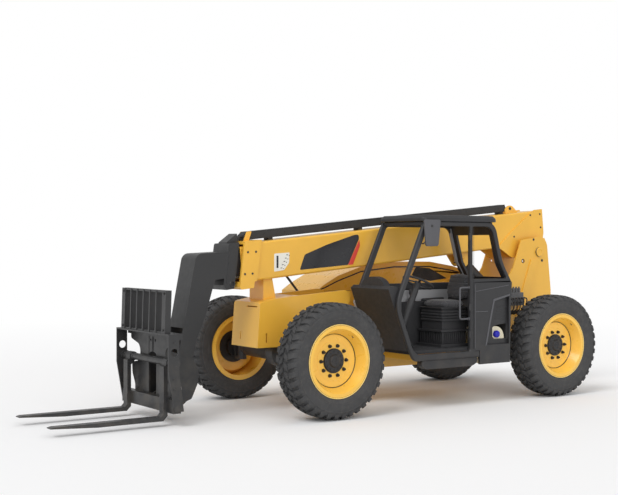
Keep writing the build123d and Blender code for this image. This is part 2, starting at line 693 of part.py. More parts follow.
# Tilt cylinder inside the gooseneck
tilt_length = hypot(crank_pin[0] - tilt_base[0], crank_pin[1] - tilt_base[1])
tilt_plane = cylinder_plane(tilt_base, crank_pin)
tilt_gland = 960.0
with BuildPart() as tilt_barrel:
    bar(-45, 45, *tilt_base, tilt_pin_radius + 22)
    disc(tilt_plane.offset(40), (0, 0), tilt_barrel_radius, tilt_gland - 40)
    disc(tilt_plane.offset(80), (0, 0), tilt_barrel_radius - 10, tilt_gland - 80 - 45, Mode.SUBTRACT)
    disc(tilt_plane.offset(tilt_gland - 46), (0, 0), tilt_rod_radius + pin_clearance, 60, Mode.SUBTRACT)
    bar(-46, 46, *tilt_base, tilt_pin_radius + pin_clearance, Mode.SUBTRACT)

with BuildPart() as tilt_rod:
    disc(tilt_plane.offset(430), (0, 0), tilt_rod_radius, tilt_length - 430)
    disc(tilt_plane.offset(430), (0, 0), tilt_barrel_radius - 10 - pin_clearance, 45)
    bar(-24, 24, *crank_pin, 42)

# Hose carrier along the top of the boom
with BuildPart() as hose_carrier:
    low = boom_low + outer_height + 28
    plate(boom_side(-60), [(-4440, low), (-4440, low + 60), (-4390, low + 94), (-330, low + 94), (-305, low)], 120)
    for u in (-4100, -2800, -1500, -420):
        plate(boom_side(-50), [(u, low - 28 + seat_gap), (u, low + 4), (u + 60, low + 4), (u + 60, low - 28 + seat_gap)], 100)

# Cab: side frames, roof, front wall, rear wall, floor and right wall
with BuildPart() as cab_frame:
    x = cab_outer - cab_post
    profile(x, cab_outer, [(1230, cab_roof_z), (807, 1217), (1010, 680), (1080, 563), (2080, 563), (2080, 640),
                           (1990, 640), (1990, 1442), (2608, 1442), (2457, 1685), (2326, cab_roof_z)])
    profile(x, cab_outer, [(1280, 2100), (865, 1217), (1052, 700), (1105, 640), (1925, 640), (1925, 2100)],
            Mode.SUBTRACT)
    profile(x, cab_outer, [(1975, 2100), (2285, 2100), (2405, 1685), (2520, 1492), (1975, 1492)], Mode.SUBTRACT)
    profile(cab_inner, cab_inner + 40, [(1230, cab_roof_z), (850, 1340), (2608, 1340), (2608, 1442),
                                        (2457, 1685), (2326, cab_roof_z)])
    profile(cab_inner, cab_inner + 40, [(1280, 2100), (975, 1425), (2545, 1425), (2405, 1685), (2285, 2100)],
            Mode.SUBTRACT)
    block(cab_inner + 40, x, 1232, 1280, 2110, cab_roof_z)

with BuildPart() as cab_right_wall:
    profile(cab_inner, cab_inner + 40, [(850, 1340), (2600, 1340), (2591, 1224), (2574, 700), (1000, 700), (807, 1217)])

with BuildPart() as cab_roof:
    block(cab_inner - 15, cab_outer + 15, 1190, 2440, cab_roof_z, cab_roof_z + roof_thickness)
    fillet(cab_roof.edges().filter_by(Axis.Z), 60)
    chamfer(cab_roof.faces().sort_by(Axis.Z)[-1].edges(), 25)

wall_x0 = cab_inner + 40
wall_x1 = cab_outer - cab_post
with BuildPart() as cab_front:
    profile(wall_x0, wall_x1, [(1010, 680), (807, 1217), (740, 1390), (780, 1423), (860, 1423), (900, 1400),
                               (850, 1217), (1052, 680)])
    with BuildSketch(facing_front(at(870))) as dome:
        with Locations((750, 1400)):
            Ellipse(220, 125)
        with Locations((750, 1300)):
            Rectangle(600, 200, mode=Mode.SUBTRACT)
    extrude(dome.sketch, amount=90)

with BuildPart() as cab_rear:
    profile(wall_x0, wall_x1, [(2326, cab_roof_z), (2457, 1685), (2608, 1442), (2591, 1224), (2574, 475),
                               (2540, 475), (2557, 1224), (2574, 1430), (2425, 1675), (2292, cab_roof_z)])
    block(450, 1040, 2100, 2700, 1500, 2010, Mode.SUBTRACT)

with BuildPart() as cab_floor:
    block(wall_x0, wall_x1, 1056, 2110, cab_floor_z, cab_floor_z + 40)

with BuildPart() as side_panel:
    profile(cab_outer - 30, cab_outer, [(1990, 1442), (2608, 1442), (2591, 1224), (2574, 475), (2080, 475),
                                        (2080, 640), (1990, 640)])
    profile(cab_outer - 30, cab_outer, [(2560, 1300), (2300, 1230), (2250, 1000), (2180, 700), (2560, 700)],
            Mode.SUBTRACT)

with BuildPart() as side_tank:
    block(side_box_inner, 1100, 2120, 2530, 480, 636)
    bar(700, 1100, 2380, 636 + seat_gap + 138, 138)

with BuildPart() as tank_cap:
    bar(1100 + seat_gap, 1135, 2380, 820, 40)

column_foot = (1110.0, cab_floor_z + 40)
column_top = (1462.0, 1440.0)
column_length = hypot(column_top[0] - column_foot[0], column_top[1] - column_foot[1])
column_plane = cylinder_plane(column_foot, column_top)
column_plane = Plane(origin=(750, column_plane.origin.Y, column_plane.origin.Z), x_dir=(1, 0, 0),
                     z_dir=column_plane.z_dir)
with BuildPart() as steering_column:
    disc(column_plane.offset(-40), (0, 0), 38, column_length + 40 - seat_gap)
    block(600, 900, 1056, 1500, 600, cab_floor_z + 40, Mode.SUBTRACT)

with BuildPart() as steering_wheel:
    wheel_plane = column_plane.offset(column_length)
    with BuildSketch(wheel_plane) as spider:
        Circle(40)
        for a in (90, 210, 330):
            with Locations((85 * cos(radians(a)), 85 * sin(radians(a)))):
                Rectangle(170, 22, rotation=a)
    extrude(spider.sketch, amount=14)
    with BuildSketch(Plane(origin=wheel_plane.origin, x_dir=(1, 0, 0), z_dir=wheel_plane.y_dir)) as ring:
        with Locations((180, -7)):
            Circle(14)
    revolve(ring.sketch, axis=Axis(wheel_plane.origin, wheel_plane.z_dir))

with BuildPart() as seat:
    block(520, 980, 1640, 2080, 1130, 1225)
    profile(530, 970, [(2050, 1225), (2150, 1215), (2185, 1560), (2105, 1565)])

with BuildPart() as seat_base:
    block(570, 930, 1680, 2060, cab_floor_z + 40, 1130 - seat_gap)

with BuildPart() as console:
    block(400, 500, 1500, 2100, cab_floor_z + 40, 1200)
    with Locations((450, at(1600), 1200 + 70)):
        Cylinder(12, 140)

# Engine pod: fixed panels, engine block and the hinged hood
with BuildPart() as pod_panels:
    block(pod_outer, pod_inner, 760, 2600, pod_floor_z, 1318)
    block(pod_outer + pod_wall, pod_inner - pod_wall, 760 + pod_wall, 2600 - pod_wall, pod_floor_z + pod_wall, 1400,
          Mode.SUBTRACT)
    profile(pod_inner, pod_inner + pod_wall, [(2300, 1100), (2300, 1300), (2600, 1318), (3195, 1545), (3240, 1545),
                                              (3240, 1490), (2600, 1150), (2560, 1100)])
    bar(pod_outer + 30, pod_inner + pod_wall, hood_hinge_station, hood_hinge_z, hood_pin_radius)

with BuildPart() as engine:
    block(-1000, -480, 1150, 2350, pod_floor_z + pod_wall, 1400)

pod_top = 1318.0
hood_out = [(765, pod_top + seat_gap), (900, 1405), (1100, 1505), (1460, 1618), (2000, 1672), (2600, 1672), (3000, 1610),
            (3240, 1548), (3240, 1500)]
hood_in = [(3225, 1500), (3225, 1535), (3000, 1594), (2600, 1655), (2000, 1655), (1465, 1602), (1105, 1490),
           (905, 1390), (790, pod_top + seat_gap)]
with BuildPart() as hood:
    profile(pod_outer, pod_inner, hood_out + hood_in)
    profile(pod_outer, pod_outer + pod_wall, hood_out[:-1] + [(3240, 1490), (2620, pod_top + seat_gap)])
    for x in (pod_outer + 40, pod_inner - 100):
        bar(x, x + 60, hood_hinge_station, hood_hinge_z, hood_pin_radius + 12)
        profile(x, x + 60, [(hood_hinge_station - 20, hood_hinge_z), (hood_hinge_station - 20, 1545),
                            (hood_hinge_station + 20, 1540), (hood_hinge_station + 20, hood_hinge_z)])
    bar(pod_outer + 20, pod_inner, hood_hinge_station, hood_hinge_z, hood_pin_radius + pin_clearance, Mode.SUBTRACT)

with BuildPart() as mirrors:
    block(1165, 1195, 1190, 1420, 1870, 2180)
    block(1150 + seat_gap, 1166, 1195, 1215, 1880, 1930)
    block(-1110, -1080, 560, 700, 1560, 1860)
    block(-1105, -1085, 600, 620, 1250, 1570)
    block(-1105, -1085, 600, 760 - seat_gap, 1250, 1270)

frame_pieces = {
    "frame": frame, "boom_tower": boom_tower, "pivot_pins": pivot_pins, "boom_outer": boom_outer,
    "boom_mid": boom_mid, "boom_fly": boom_fly, "gooseneck": gooseneck, "tilt_pin": tilt_pin,
    "carriage": carriage, "backrest": backrest, "fork_shaft": fork_shaft, "forks": forks,
    "lift_barrel": lift_barrel, "lift_rod": lift_rod, "tilt_barrel": tilt_barrel, "tilt_rod": tilt_rod,
    "hose_carrier": hose_carrier,
}
body_pieces = {
    "cab_frame": cab_frame, "cab_right_wall": cab_right_wall, "cab_roof": cab_roof, "cab_front": cab_front,
    "cab_rear": cab_rear, "cab_floor": cab_floor, "side_panel": side_panel, "side_tank": side_tank,
    "tank_cap": tank_cap, "steering_column": steering_column, "steering_wheel": steering_wheel, "seat": seat,
    "seat_base": seat_base, "console": console, "pod_panels": pod_panels, "engine": engine, "hood": hood,
    "mirrors": mirrors,
}
for name, piece in (frame_pieces | body_pieces).items():
    move = body_move if name in body_pieces else 0.0
    placed = piece.part.moved(Location((0, move, 0)))
    placed.label = name
    export_step(placed, f"parts/{name}.step")
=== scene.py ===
import json
from math import cos, pi, radians, sin

import bmesh
import bpy
from mathutils import Matrix, Vector


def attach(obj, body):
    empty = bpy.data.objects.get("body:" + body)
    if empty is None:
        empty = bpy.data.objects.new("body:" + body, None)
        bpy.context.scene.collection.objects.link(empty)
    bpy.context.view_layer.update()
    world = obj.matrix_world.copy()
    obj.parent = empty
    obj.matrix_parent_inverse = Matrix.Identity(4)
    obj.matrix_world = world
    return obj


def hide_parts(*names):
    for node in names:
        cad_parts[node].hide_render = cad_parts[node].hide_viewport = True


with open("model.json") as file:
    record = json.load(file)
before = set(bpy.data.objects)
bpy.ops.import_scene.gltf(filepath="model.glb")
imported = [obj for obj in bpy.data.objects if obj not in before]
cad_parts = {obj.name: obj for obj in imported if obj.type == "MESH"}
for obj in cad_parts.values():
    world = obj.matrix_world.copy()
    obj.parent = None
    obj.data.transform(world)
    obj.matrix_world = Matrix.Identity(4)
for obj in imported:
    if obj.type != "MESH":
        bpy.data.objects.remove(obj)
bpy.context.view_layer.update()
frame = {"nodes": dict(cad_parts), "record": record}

scene = bpy.context.scene

# Places in metres, in the row frame: X to the cab's side, Y to the rear, Z up
AXLE_Y = {"front": -0.605, "rear": 2.825}
WHEEL_X = 1.037
TYRE_R = 0.633
PIVOT = Vector((0.0, 3.345, 1.799))
SLOPE = radians(5.6)
SIDES = ((1, "left"), (-1, "right"))
CORNERS = {"fl": (1, "front", "wheel_front_left"), "fr": (-1, "front", "wheel_front_right"),
           "rl": (1, "rear", "wheel_rear_left"), "rr": (-1, "rear", "wheel_rear_right")}


def row(station):
    """Row Y of a distance behind the front axle."""
    return station + AXLE_Y["front"]


def yz(points):
    """Row Y and Z of side points given as distances behind the front axle and heights."""
    return [(row(s), z) for s, z in points]


def boom_yz(u, v):
    """Row Y and Z of a point u behind and v above the boom pivot, along the boom."""
    return (PIVOT.y + u * cos(SLOPE) - v * sin(SLOPE), PIVOT.z + u * sin(SLOPE) + v * cos(SLOPE))


def along_boom(points):
    return [boom_yz(u, v) for u, v in points]


# Materials

def srgb(r, g, b):
    """Linear colour of an 8-bit one."""
    out = []
    for c in (r, g, b):
        c /= 255.0
        out.append(c / 12.92 if c <= 0.04045 else ((c + 0.055) / 1.055) ** 2.4)
    return (*out, 1.0)


def shade(color, k):
    """The colour made darker or lighter."""
    return (min(color[0] * k, 1.0), min(color[1] * k, 1.0), min(color[2] * k, 1.0), 1.0)


materials = {}


class Nodes:
    """Short names for the nodes of one material."""

    def __init__(self, name):
        self.name = name
        self.mat = bpy.data.materials.new(name)
        self.mat.use_nodes = True
        self.tree = self.mat.node_tree
        self.bsdf = self.tree.nodes["Principled BSDF"]
        self.coords = self.tree.nodes.new("ShaderNodeTexCoord").outputs["Object"]

    def new(self, kind, **inputs):
        """A node with its inputs linked or set; _ stands for a space in an input's name."""
        node = self.tree.nodes.new(kind)
        for key, value in inputs.items():
            self.put(node.inputs[key.replace("_", " ")], value)
        return node

    def put(self, socket, value):
        if isinstance(value, bpy.types.NodeSocket):
            self.tree.links.new(value, socket)
        else:
            socket.default_value = value

    def noise(self, scale, detail=3.0, coords=None, rough=0.5):
        node = self.new("ShaderNodeTexNoise", Vector=coords or self.coords, Scale=scale, Detail=detail,
                        Roughness=rough)
        return node.outputs["Fac"]

    def ramp(self, value, low, high, out_low=0.0, out_high=1.0):
        node = self.new("ShaderNodeMapRange", Value=value, From_Min=low, From_Max=high, To_Min=out_low,
                        To_Max=out_high)
        return node.outputs["Result"]

    def mottle(self, scale, detail, out_low=0.0, out_high=1.0):
        """Soft patches."""
        return self.ramp(self.noise(scale, detail), 0.3, 0.7, out_low, out_high)

    def math(self, kind, a, b):
        node = self.tree.nodes.new("ShaderNodeMath")
        node.operation = kind
        self.put(node.inputs[0], a)
        self.put(node.inputs[1], b)
        return node.outputs[0]

    def mix(self, fac, a, b):
        node = self.tree.nodes.new("ShaderNodeMix")
        node.data_type = "RGBA"
        self.put(node.inputs["Factor"], fac)
        self.put(node.inputs["A"], a)
        self.put(node.inputs["B"], b)
        return node.outputs["Result"]

    def edges(self, radius):
        """1 along convex and concave edges, 0 on open faces."""
        bevel = self.new("ShaderNodeBevel", Radius=radius)
        bevel.samples = 4
        geo = self.tree.nodes.new("ShaderNodeNewGeometry")
        dot = self.tree.nodes.new("ShaderNodeVectorMath")
        dot.operation = "DOT_PRODUCT"
        self.put(dot.inputs[0], bevel.outputs["Normal"])
        self.put(dot.inputs[1], geo.outputs["Normal"])
        return self.ramp(dot.outputs["Value"], 0.995, 0.85)

    def bump(self, height, strength, distance):
        node = self.new("ShaderNodeBump", Strength=strength, Distance=distance, Height=height)
        return node.outputs["Normal"]

    def tone(self, color, scale, detail, low, high):
        """The colour in patches between two shades."""
        return self.mix(self.mottle(scale, detail), shade(color, low), shade(color, high))

    def highlight_edges(self, tone, radius, share, color):
        """The tone with its edges lightened towards the colour: a painted highlight along the edges."""
        return self.mix(self.math("MULTIPLY", self.edges(radius), share), tone, color)

    def finish(self, color, rough, normal, **values):
        """Sets the shader and keeps the material under its name."""
        for key, value in (("Base Color", color), ("Roughness", rough), ("Normal", normal)):
            self.put(self.bsdf.inputs[key], value)
        for key, value in values.items():
            self.bsdf.inputs[key.replace("_", " ")].default_value = value
        materials[self.name] = self.mat


def painted(name, color, rough, coat=0.0, edge_highlight_and_wear=None, vary=0.05, peel=0.08):
    """Sprayed paint: slow change of tone, orange peel, edges lighter in patches (partly chipped paint, partly a
    painted highlight along the edges) and some dust low down.
    """
    n = Nodes(name)
    tone = n.tone(color, 2.3, 4.0, 1.0 - vary, 1.0 + vary)
    if edge_highlight_and_wear is not None:
        # Lighter edges in patches: partly chipped paint, partly painted highlight.
        edge_highlight_and_chips = n.math("MULTIPLY", n.edges(0.003), n.ramp(n.noise(38.0, 5.0), 0.42, 0.62))
        tone = n.mix(n.math("MULTIPLY", edge_highlight_and_chips, 0.55), tone, edge_highlight_and_wear)
    height = n.new("ShaderNodeSeparateXYZ", Vector=n.coords)
    low = n.ramp(height.outputs["Z"], 0.9, 0.1)
    dusty = n.math("MULTIPLY", low, n.ramp(n.noise(6.0, 6.0), 0.42, 0.75))
    tone = n.mix(n.math("MULTIPLY", dusty, 0.18), tone, srgb(150, 138, 120))
    polish = n.mottle(14.0, 4.0, rough * 0.85, rough * 1.15)
    normal = n.bump(n.noise(420.0, 2.0), peel, 0.0006)
    n.finish(tone, polish, normal, Coat_Weight=coat, Coat_Roughness=0.12)


def moulded(name, color, rough, grain=0.25, scale=900.0):
    """Moulded plastic or rubber with a fine grain."""
    n = Nodes(name)
    # The edges go towards a lighter copy of the colour: a painted highlight.
    tone = n.highlight_edges(n.tone(color, 5.0, 4.0, 0.94, 1.06), 0.002, 0.25, shade(color, 1.9))
    cells = n.new("ShaderNodeTexVoronoi", Vector=n.coords, Scale=scale)
    normal = n.bump(cells.outputs["Distance"], grain, 0.0004)
    n.finish(tone, n.mottle(22.0, 3.0, rough * 0.9, min(rough * 1.12, 1.0)), normal)


def rubber(name, color):
    """Tyre rubber: dull, a little dusty, with moulding grain."""
    n = Nodes(name)
    # The block and casing edges go towards a lighter copy of the rubber: a painted highlight.
    tone = n.highlight_edges(n.tone(color, 9.0, 5.0, 0.9, 1.12), 0.004, 0.35, shade(color, 1.9))
    dust = n.ramp(n.noise(26.0, 8.0, rough=0.65), 0.5, 0.8)
    tone = n.mix(n.math("MULTIPLY", dust, 0.22), tone, srgb(128, 122, 114))
    grain = n.bump(n.noise(650.0, 3.0), 0.35, 0.0008)
    n.finish(tone, n.ramp(dust, 0.0, 1.0, 0.78, 0.92), grain, Specular_IOR_Level=0.35)


def metal(name, color, rough, brushed=True):
    """Bright steel, with turning marks along X where it is brushed."""
    n = Nodes(name)
    if brushed:
        stretch = n.new("ShaderNodeMapping", Vector=n.coords, Scale=(900, 20, 20))
        marks = n.noise(1.0, 2.0, coords=stretch.outputs["Vector"])
    else:
        marks = n.noise(300.0, 2.0)
    tone = n.tone(color, 12.0, 3.0, 0.9, 1.06)
    polish = n.ramp(marks, 0.3, 0.7, rough * 0.8, rough * 1.25)
    n.finish(tone, polish, n.bump(marks, 0.12, 0.0003), Metallic=1.0)


def cast(name, color, rough):
    """Rough sand casting."""
    n = Nodes(name)
    # The edges go towards a lighter copy of the colour: a painted highlight.
    tone = n.highlight_edges(n.tone(color, 7.0, 5.0, 0.85, 1.12), 0.004, 0.4, shade(color, 1.7))
    normal = n.bump(n.noise(180.0, 5.0, rough=0.6), 0.4, 0.0012)
    n.finish(tone, n.mottle(30.0, 3.0, rough * 0.9, rough * 1.1), normal)


def woven(name, color):
    """Seat cloth: a fine over and under weave with soft sheen."""
    n = Nodes(name)
    waves = []
    for axis in ("X", "Z"):
        wave = n.new("ShaderNodeTexWave", Vector=n.coords, Scale=160.0, Distortion=0.6, Detail_Scale=2.0)
        wave.bands_direction = axis
        waves.append(wave.outputs["Fac"])
    weave = n.math("MAXIMUM", waves[0], waves[1])
    tone = n.mix(weave, shade(color, 0.7), shade(color, 1.25))
    tone = n.mix(n.math("MULTIPLY", n.ramp(n.noise(11.0, 4.0), 0.45, 0.8), 0.3), tone, shade(color, 1.6))
    n.finish(tone, 0.9, n.bump(weave, 0.5, 0.0012), Sheen_Weight=0.35)


def mesh_screen(name, color):
    """Pressed screen: holes in rows over a black sheet; the holes are not cut but painted dark, as painted shade."""
    n = Nodes(name)
    cells = n.new("ShaderNodeTexVoronoi", Vector=n.coords, Scale=75.0, Randomness=0.0)
    hole = n.ramp(cells.outputs["Distance"], 0.38, 0.44)
    # The holes get a dark copy of the colour: painted shade in place of what is seen through them.
    tone = n.mix(hole, shade(color, 0.25), shade(color, 1.5))
    tone = n.mix(n.math("MULTIPLY", n.ramp(n.noise(8.0, 4.0), 0.4, 0.8), 0.3), tone, srgb(96, 90, 82))
    n.finish(tone, 0.6, n.bump(hole, 0.6, 0.002))


YELLOW = srgb(240, 184, 66)
WHEEL_YELLOW = srgb(250, 197, 78)
BLACK = srgb(46, 46, 47)
CAB = srgb(46, 46, 48)

painted("yellow_paint", YELLOW, 0.33, coat=0.25, edge_highlight_and_wear=srgb(250, 214, 130))
painted("hood_panel", shade(YELLOW, 0.98), 0.3, coat=0.3, edge_highlight_and_wear=srgb(250, 214, 130), peel=0.05)
painted("wheel_paint", WHEEL_YELLOW, 0.3, coat=0.3, edge_highlight_and_wear=srgb(255, 226, 150), vary=0.03)
painted("black_paint", BLACK, 0.42, coat=0.1, edge_highlight_and_wear=srgb(100, 100, 102))
painted("cab_paint", CAB, 0.45, edge_highlight_and_wear=srgb(98, 98, 101), peel=0.12)
painted("light_grey", srgb(158, 158, 160), 0.55, edge_highlight_and_wear=srgb(190, 190, 190))
metal("steel", srgb(165, 165, 168), 0.34)
metal("chrome", srgb(225, 226, 228), 0.12, brushed=False)
moulded("black_plastic", srgb(46, 46, 48), 0.6)
moulded("rubber_mat", srgb(48, 48, 50), 0.85, grain=0.6, scale=160.0)
moulded("cream_tank", srgb(222, 214, 188), 0.45, grain=0.1)
moulded("blue_cap", srgb(22, 24, 168), 0.4, grain=0.1)
cast("engine", srgb(96, 96, 98), 0.65)
rubber("tyre", srgb(68, 68, 69))
woven("seat_cover", srgb(58, 58, 61))
painted("red_stripe", srgb(222, 74, 62), 0.35, coat=0.2)
painted("label_white", srgb(238, 236, 226), 0.4, vary=0.02)
painted("hub_black", srgb(36, 36, 39), 0.45, edge_highlight_and_wear=srgb(80, 80, 84))
# A light yellow for the ring on the wheel's flange edge: a painted highlight.
painted("wheel_edge", srgb(255, 222, 136), 0.28, coat=0.3, vary=0.03)
moulded("mirror_shell", srgb(84, 84, 88), 0.5, grain=0.12)
painted("handle_grey", srgb(84, 84, 88), 0.4)
painted("panel_black", srgb(34, 34, 38), 0.3, coat=0.3, vary=0.02)
mesh_screen("grille", srgb(40, 40, 42))
metal("mirror_glass", srgb(190, 196, 204), 0.05, brushed=False)

for entry in frame["record"]["subparts"]:
    look = "hub_black" if entry["node"].startswith("hub_") else entry["material_slot"]
    for slot in frame["nodes"][entry["node"]].material_slots:
        slot.material = materials[look]


# Mesh helpers

def show(name, data):
    """A new object in the scene."""
    obj = bpy.data.objects.new(name, data)
    scene.collection.objects.link(obj)
    return obj


def new_mesh(name, bm):
    mesh = bpy.data.meshes.new(name)
    bm.to_mesh(mesh)
    bm.free()
    return mesh


def smooth(mesh, angle):
    """Smooth shading, but for the edges sharper than the angle."""
    mesh.shade_smooth()
    mesh.set_sharp_from_angle(angle=radians(angle))


def soften(obj, width, segments, angle):
    """Rounds the edges sharper than the angle."""
    mod = obj.modifiers.new("edges", "BEVEL")
    mod.width = width
    mod.segments = segments
    mod.limit_method = "ANGLE"
    mod.angle_limit = radians(angle)


def piece(name, bm, material, body="chassis", bevel=0.0, angle=35.0):
    """Turns a bmesh into a shown piece that rides on a body."""
    bmesh.ops.recalc_face_normals(bm, faces=bm.faces)
    obj = show(name, new_mesh(name, bm))
    obj.data.materials.append(materials[material])
    smooth(obj.data, angle)
    if bevel:
        soften(obj, bevel, 2, angle)
    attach(obj, body)
    return obj


def add_box(bm, low, high, turn=None):
    """A square block between two corners, turned about its middle if asked."""
    low, high = Vector(low), Vector(high)
    mid = (low + high) / 2
    size = high - low
    place = Matrix.Translation(mid) @ (turn.to_4x4() if turn else Matrix.Identity(4))
    bmesh.ops.create_cube(bm, size=1.0, matrix=place @ Matrix.Diagonal((*size, 1.0)))


def add_rod(bm, start, end, radius, sides=24):
    """A round bar from start to end."""
    start, end = Vector(start), Vector(end)
    along = end - start
    turn = along.to_track_quat("Z", "Y").to_matrix().to_4x4()
    bmesh.ops.create_cone(bm, cap_ends=True, segments=sides, radius1=radius, radius2=radius, depth=along.length,
                          matrix=Matrix.Translation((start + end) / 2) @ turn)


def add_turned(bm, profile, origin, axis, sides):
    """A ring of the profile (distance along the axis, radius) turned about the axis."""
    turn = Vector(axis).to_track_quat("Z", "Y").to_matrix()
    rings = []
    for k in range(sides):
        a = 2 * pi * k / sides
        rings.append([bm.verts.new(Vector(origin) + turn @ Vector((r * cos(a), r * sin(a), d)))
                      for d, r in profile])
    for k in range(sides):
        ring, following = rings[k], rings[(k + 1) % sides]
        for j in range(len(profile) - 1):
            bm.faces.new((ring[j], ring[j + 1], following[j + 1], following[j]))


def add_prism(bm, start, end):
    """A closed solid between two outlines with as many points each."""
    first, second = [bm.verts.new(p) for p in start], [bm.verts.new(p) for p in end]
    bm.faces.new(first)
    bm.faces.new(second[::-1])
    for i in range(len(first)):
        j = (i + 1) % len(first)
        bm.faces.new((first[i], second[i], second[j], first[j]))


def add_plate(bm, points, x0, x1):
    """A plate of a side outline (y, z), from one x to the other."""
    add_prism(bm, [(x0, y, z) for y, z in points], [(x1, y, z) for y, z in points])


def arc(a, mid, b, steps):
    """Points from a to b on a curve that bends at mid."""
    return [a * (1 - t) ** 2 + mid * 2 * t * (1 - t) + b * t * t for t in (k / steps for k in range(steps + 1))]


# Tyres: a turned casing with blocks in four rows; profiles are distance from the middle and radius

LUGS = 38
CROWN = [(0.0, 0.633), (0.06, 0.632), (0.11, 0.628), (0.14, 0.622), (0.16, 0.613), (0.172, 0.600),
         (0.179, 0.584), (0.1815, 0.566)]
HALF_CASING = [(0.03, 0.609), (0.1, 0.606), (0.145, 0.599), (0.165, 0.587), (0.175, 0.565), (0.1795, 0.54),
               (0.181, 0.51), (0.1785, 0.48), (0.172, 0.45), (0.166, 0.424), (0.158, 0.408), (0.1462, 0.401),
               (0.1455, 0.357)]
CASING = [(-x, r) for x, r in HALF_CASING[::-1]] + HALF_CASING


def crown(x):
    """Radius of the tread's outer face at x."""
    x = abs(x)
    for (x0, r0), (x1, r1) in zip(CROWN, CROWN[1:]):
        if x <= x1:
            return r0 + (r1 - r0) * (x - x0) / (x1 - x0)
    return CROWN[-1][1]


def add_block(bm, across, centre, half):
    """A tread block over the places across in x; centre and half give its place round the tyre in metres."""
    rows = []
    for x in across:
        top = crown(x)
        base = min(top - 0.006, 0.607 if abs(x) < 0.15 else 0.57)
        c, h = centre(x) / TYRE_R, half(x) / TYRE_R
        row = []
        for a, r in ((c - h * 1.1, base), (c - h, top), (c + h, top), (c + h * 1.1, base)):
            row.append(bm.verts.new((x, r * sin(a), r * cos(a))))
        rows.append(row)
    for a, b in zip(rows, rows[1:]):
        for j in range(3):
            bm.faces.new((a[j], a[j + 1], b[j + 1], b[j]))
    for row in (rows[0], rows[-1]):
        bm.faces.new(row)


def tyre_mesh():
    """Casing with its raised sidewall rings and the blocks, about the origin."""
    bm = bmesh.new()
    add_turned(bm, CASING, (0, 0, 0), (1, 0, 0), sides=152)
    for r, d in ((0.447, 0.0022), (0.462, 0.0016), (0.545, 0.002)):
        for s in (-1, 1):
            x = s * (0.1722 if r < 0.46 else 0.1752 if r < 0.5 else 0.1795)
            add_turned(bm, [(x - s * 0.004, r - 0.005), (x + s * d, r - 0.002), (x + s * d, r + 0.002),
                            (x - s * 0.004, r + 0.005)], (0, 0, 0), (1, 0, 0), sides=96)
    pitch = 2 * pi * TYRE_R / LUGS
    for i in range(LUGS):
        for s in (-1, 1):
            start = pitch * (i + (0.5 if s < 0 else 0.0))
            outer = [s * x for x in (0.088, 0.11, 0.14, 0.158, 0.17, 0.178, 0.181)]
            add_block(bm, outer, lambda x, o=start: o + 0.32 * abs(x), lambda x: 0.030 if abs(x) < 0.15 else 0.027)
            mid = [s * x for x in (0.012, 0.045, 0.078)]
            add_block(bm, mid, lambda x, o=start: o + 0.052 - 0.62 * abs(x), lambda x: 0.027)
    bmesh.ops.recalc_face_normals(bm, faces=bm.faces)
    mesh = new_mesh("tyre_tread", bm)
    mesh.materials.append(materials["tyre"])
    smooth(mesh, 32)
    return mesh


tread = tyre_mesh()
for corner, (side, end, body) in CORNERS.items():
    obj = show("tyre_tread_" + corner, tread)
    obj.location = (side * WHEEL_X, AXLE_Y[end], TYRE_R)
    obj.rotation_euler = (0.0, 0.0, 0.0 if side > 0 else pi)
    soften(obj, 0.0035, 1, 40)
    bpy.context.view_layer.update()
    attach(obj, body)
    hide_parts("tyre_" + corner)


# Wheel nuts and the final drive's cover

NUT_CIRCLE = 0.167
COVER_CIRCLE = 0.104
PLUG_CIRCLE = 0.036


def spoke(x, radius, turn):
    """A place beside a wheel's middle: along its axle, out from it, and round it."""
    return Vector((x, radius * sin(turn), radius * cos(turn)))


for corner, (side, end, body) in CORNERS.items():
    centre = Vector((side * WHEEL_X, AXLE_Y[end], TYRE_R))
    out = Vector((side, 0, 0))
    bm = bmesh.new()
    for k in range(10):
        at = centre + spoke(side * 0.037, NUT_CIRCLE, 2 * pi * (k + 0.5) / 10)
        add_rod(bm, at, at + out * 0.004, 0.021, 24)
        add_rod(bm, at + out * 0.004, at + out * 0.024, 0.0175, 6)
        add_rod(bm, at + out * 0.022, at + out * 0.036, 0.0095, 16)
    piece("wheel_nuts_" + corner, bm, "hub_black", body, bevel=0.0012)
    bm = bmesh.new()
    hub = centre + out * 0.046
    add_turned(bm, [(0.0, 0.128), (0.010, 0.125), (0.013, 0.118), (0.013, 0.075), (0.020, 0.068), (0.030, 0.062),
                    (0.034, 0.05), (0.034, 0.022), (0.030, 0.018), (0.030, 0.0005)], hub, out, 60)
    for k in range(12):
        at = hub + spoke(side * 0.012, COVER_CIRCLE, 2 * pi * k / 12)
        add_rod(bm, at, at + out * 0.010, 0.008, 6)
    for k in range(3):
        at = hub + spoke(side * 0.028, PLUG_CIRCLE, 2 * pi * (k + 0.25) / 3)
        add_rod(bm, at, at + out * 0.012, 0.007, 6)
    piece("drive_cover_" + corner, bm, "hub_black", body)


def rounded(points, radius, steps=4):
    """The outline with every corner cut to a small arc."""
    out = []
    for i, mid in enumerate(points):
        mid = Vector(mid)
        before, after = Vector(points[i - 1]), Vector(points[(i + 1) % len(points)])
        r = min(radius, (before - mid).length * 0.45, (after - mid).length * 0.45)
        out += arc(mid + (before - mid).normalized() * r, mid, mid + (after - mid).normalized() * r, steps)
    return [tuple(p) for p in out]


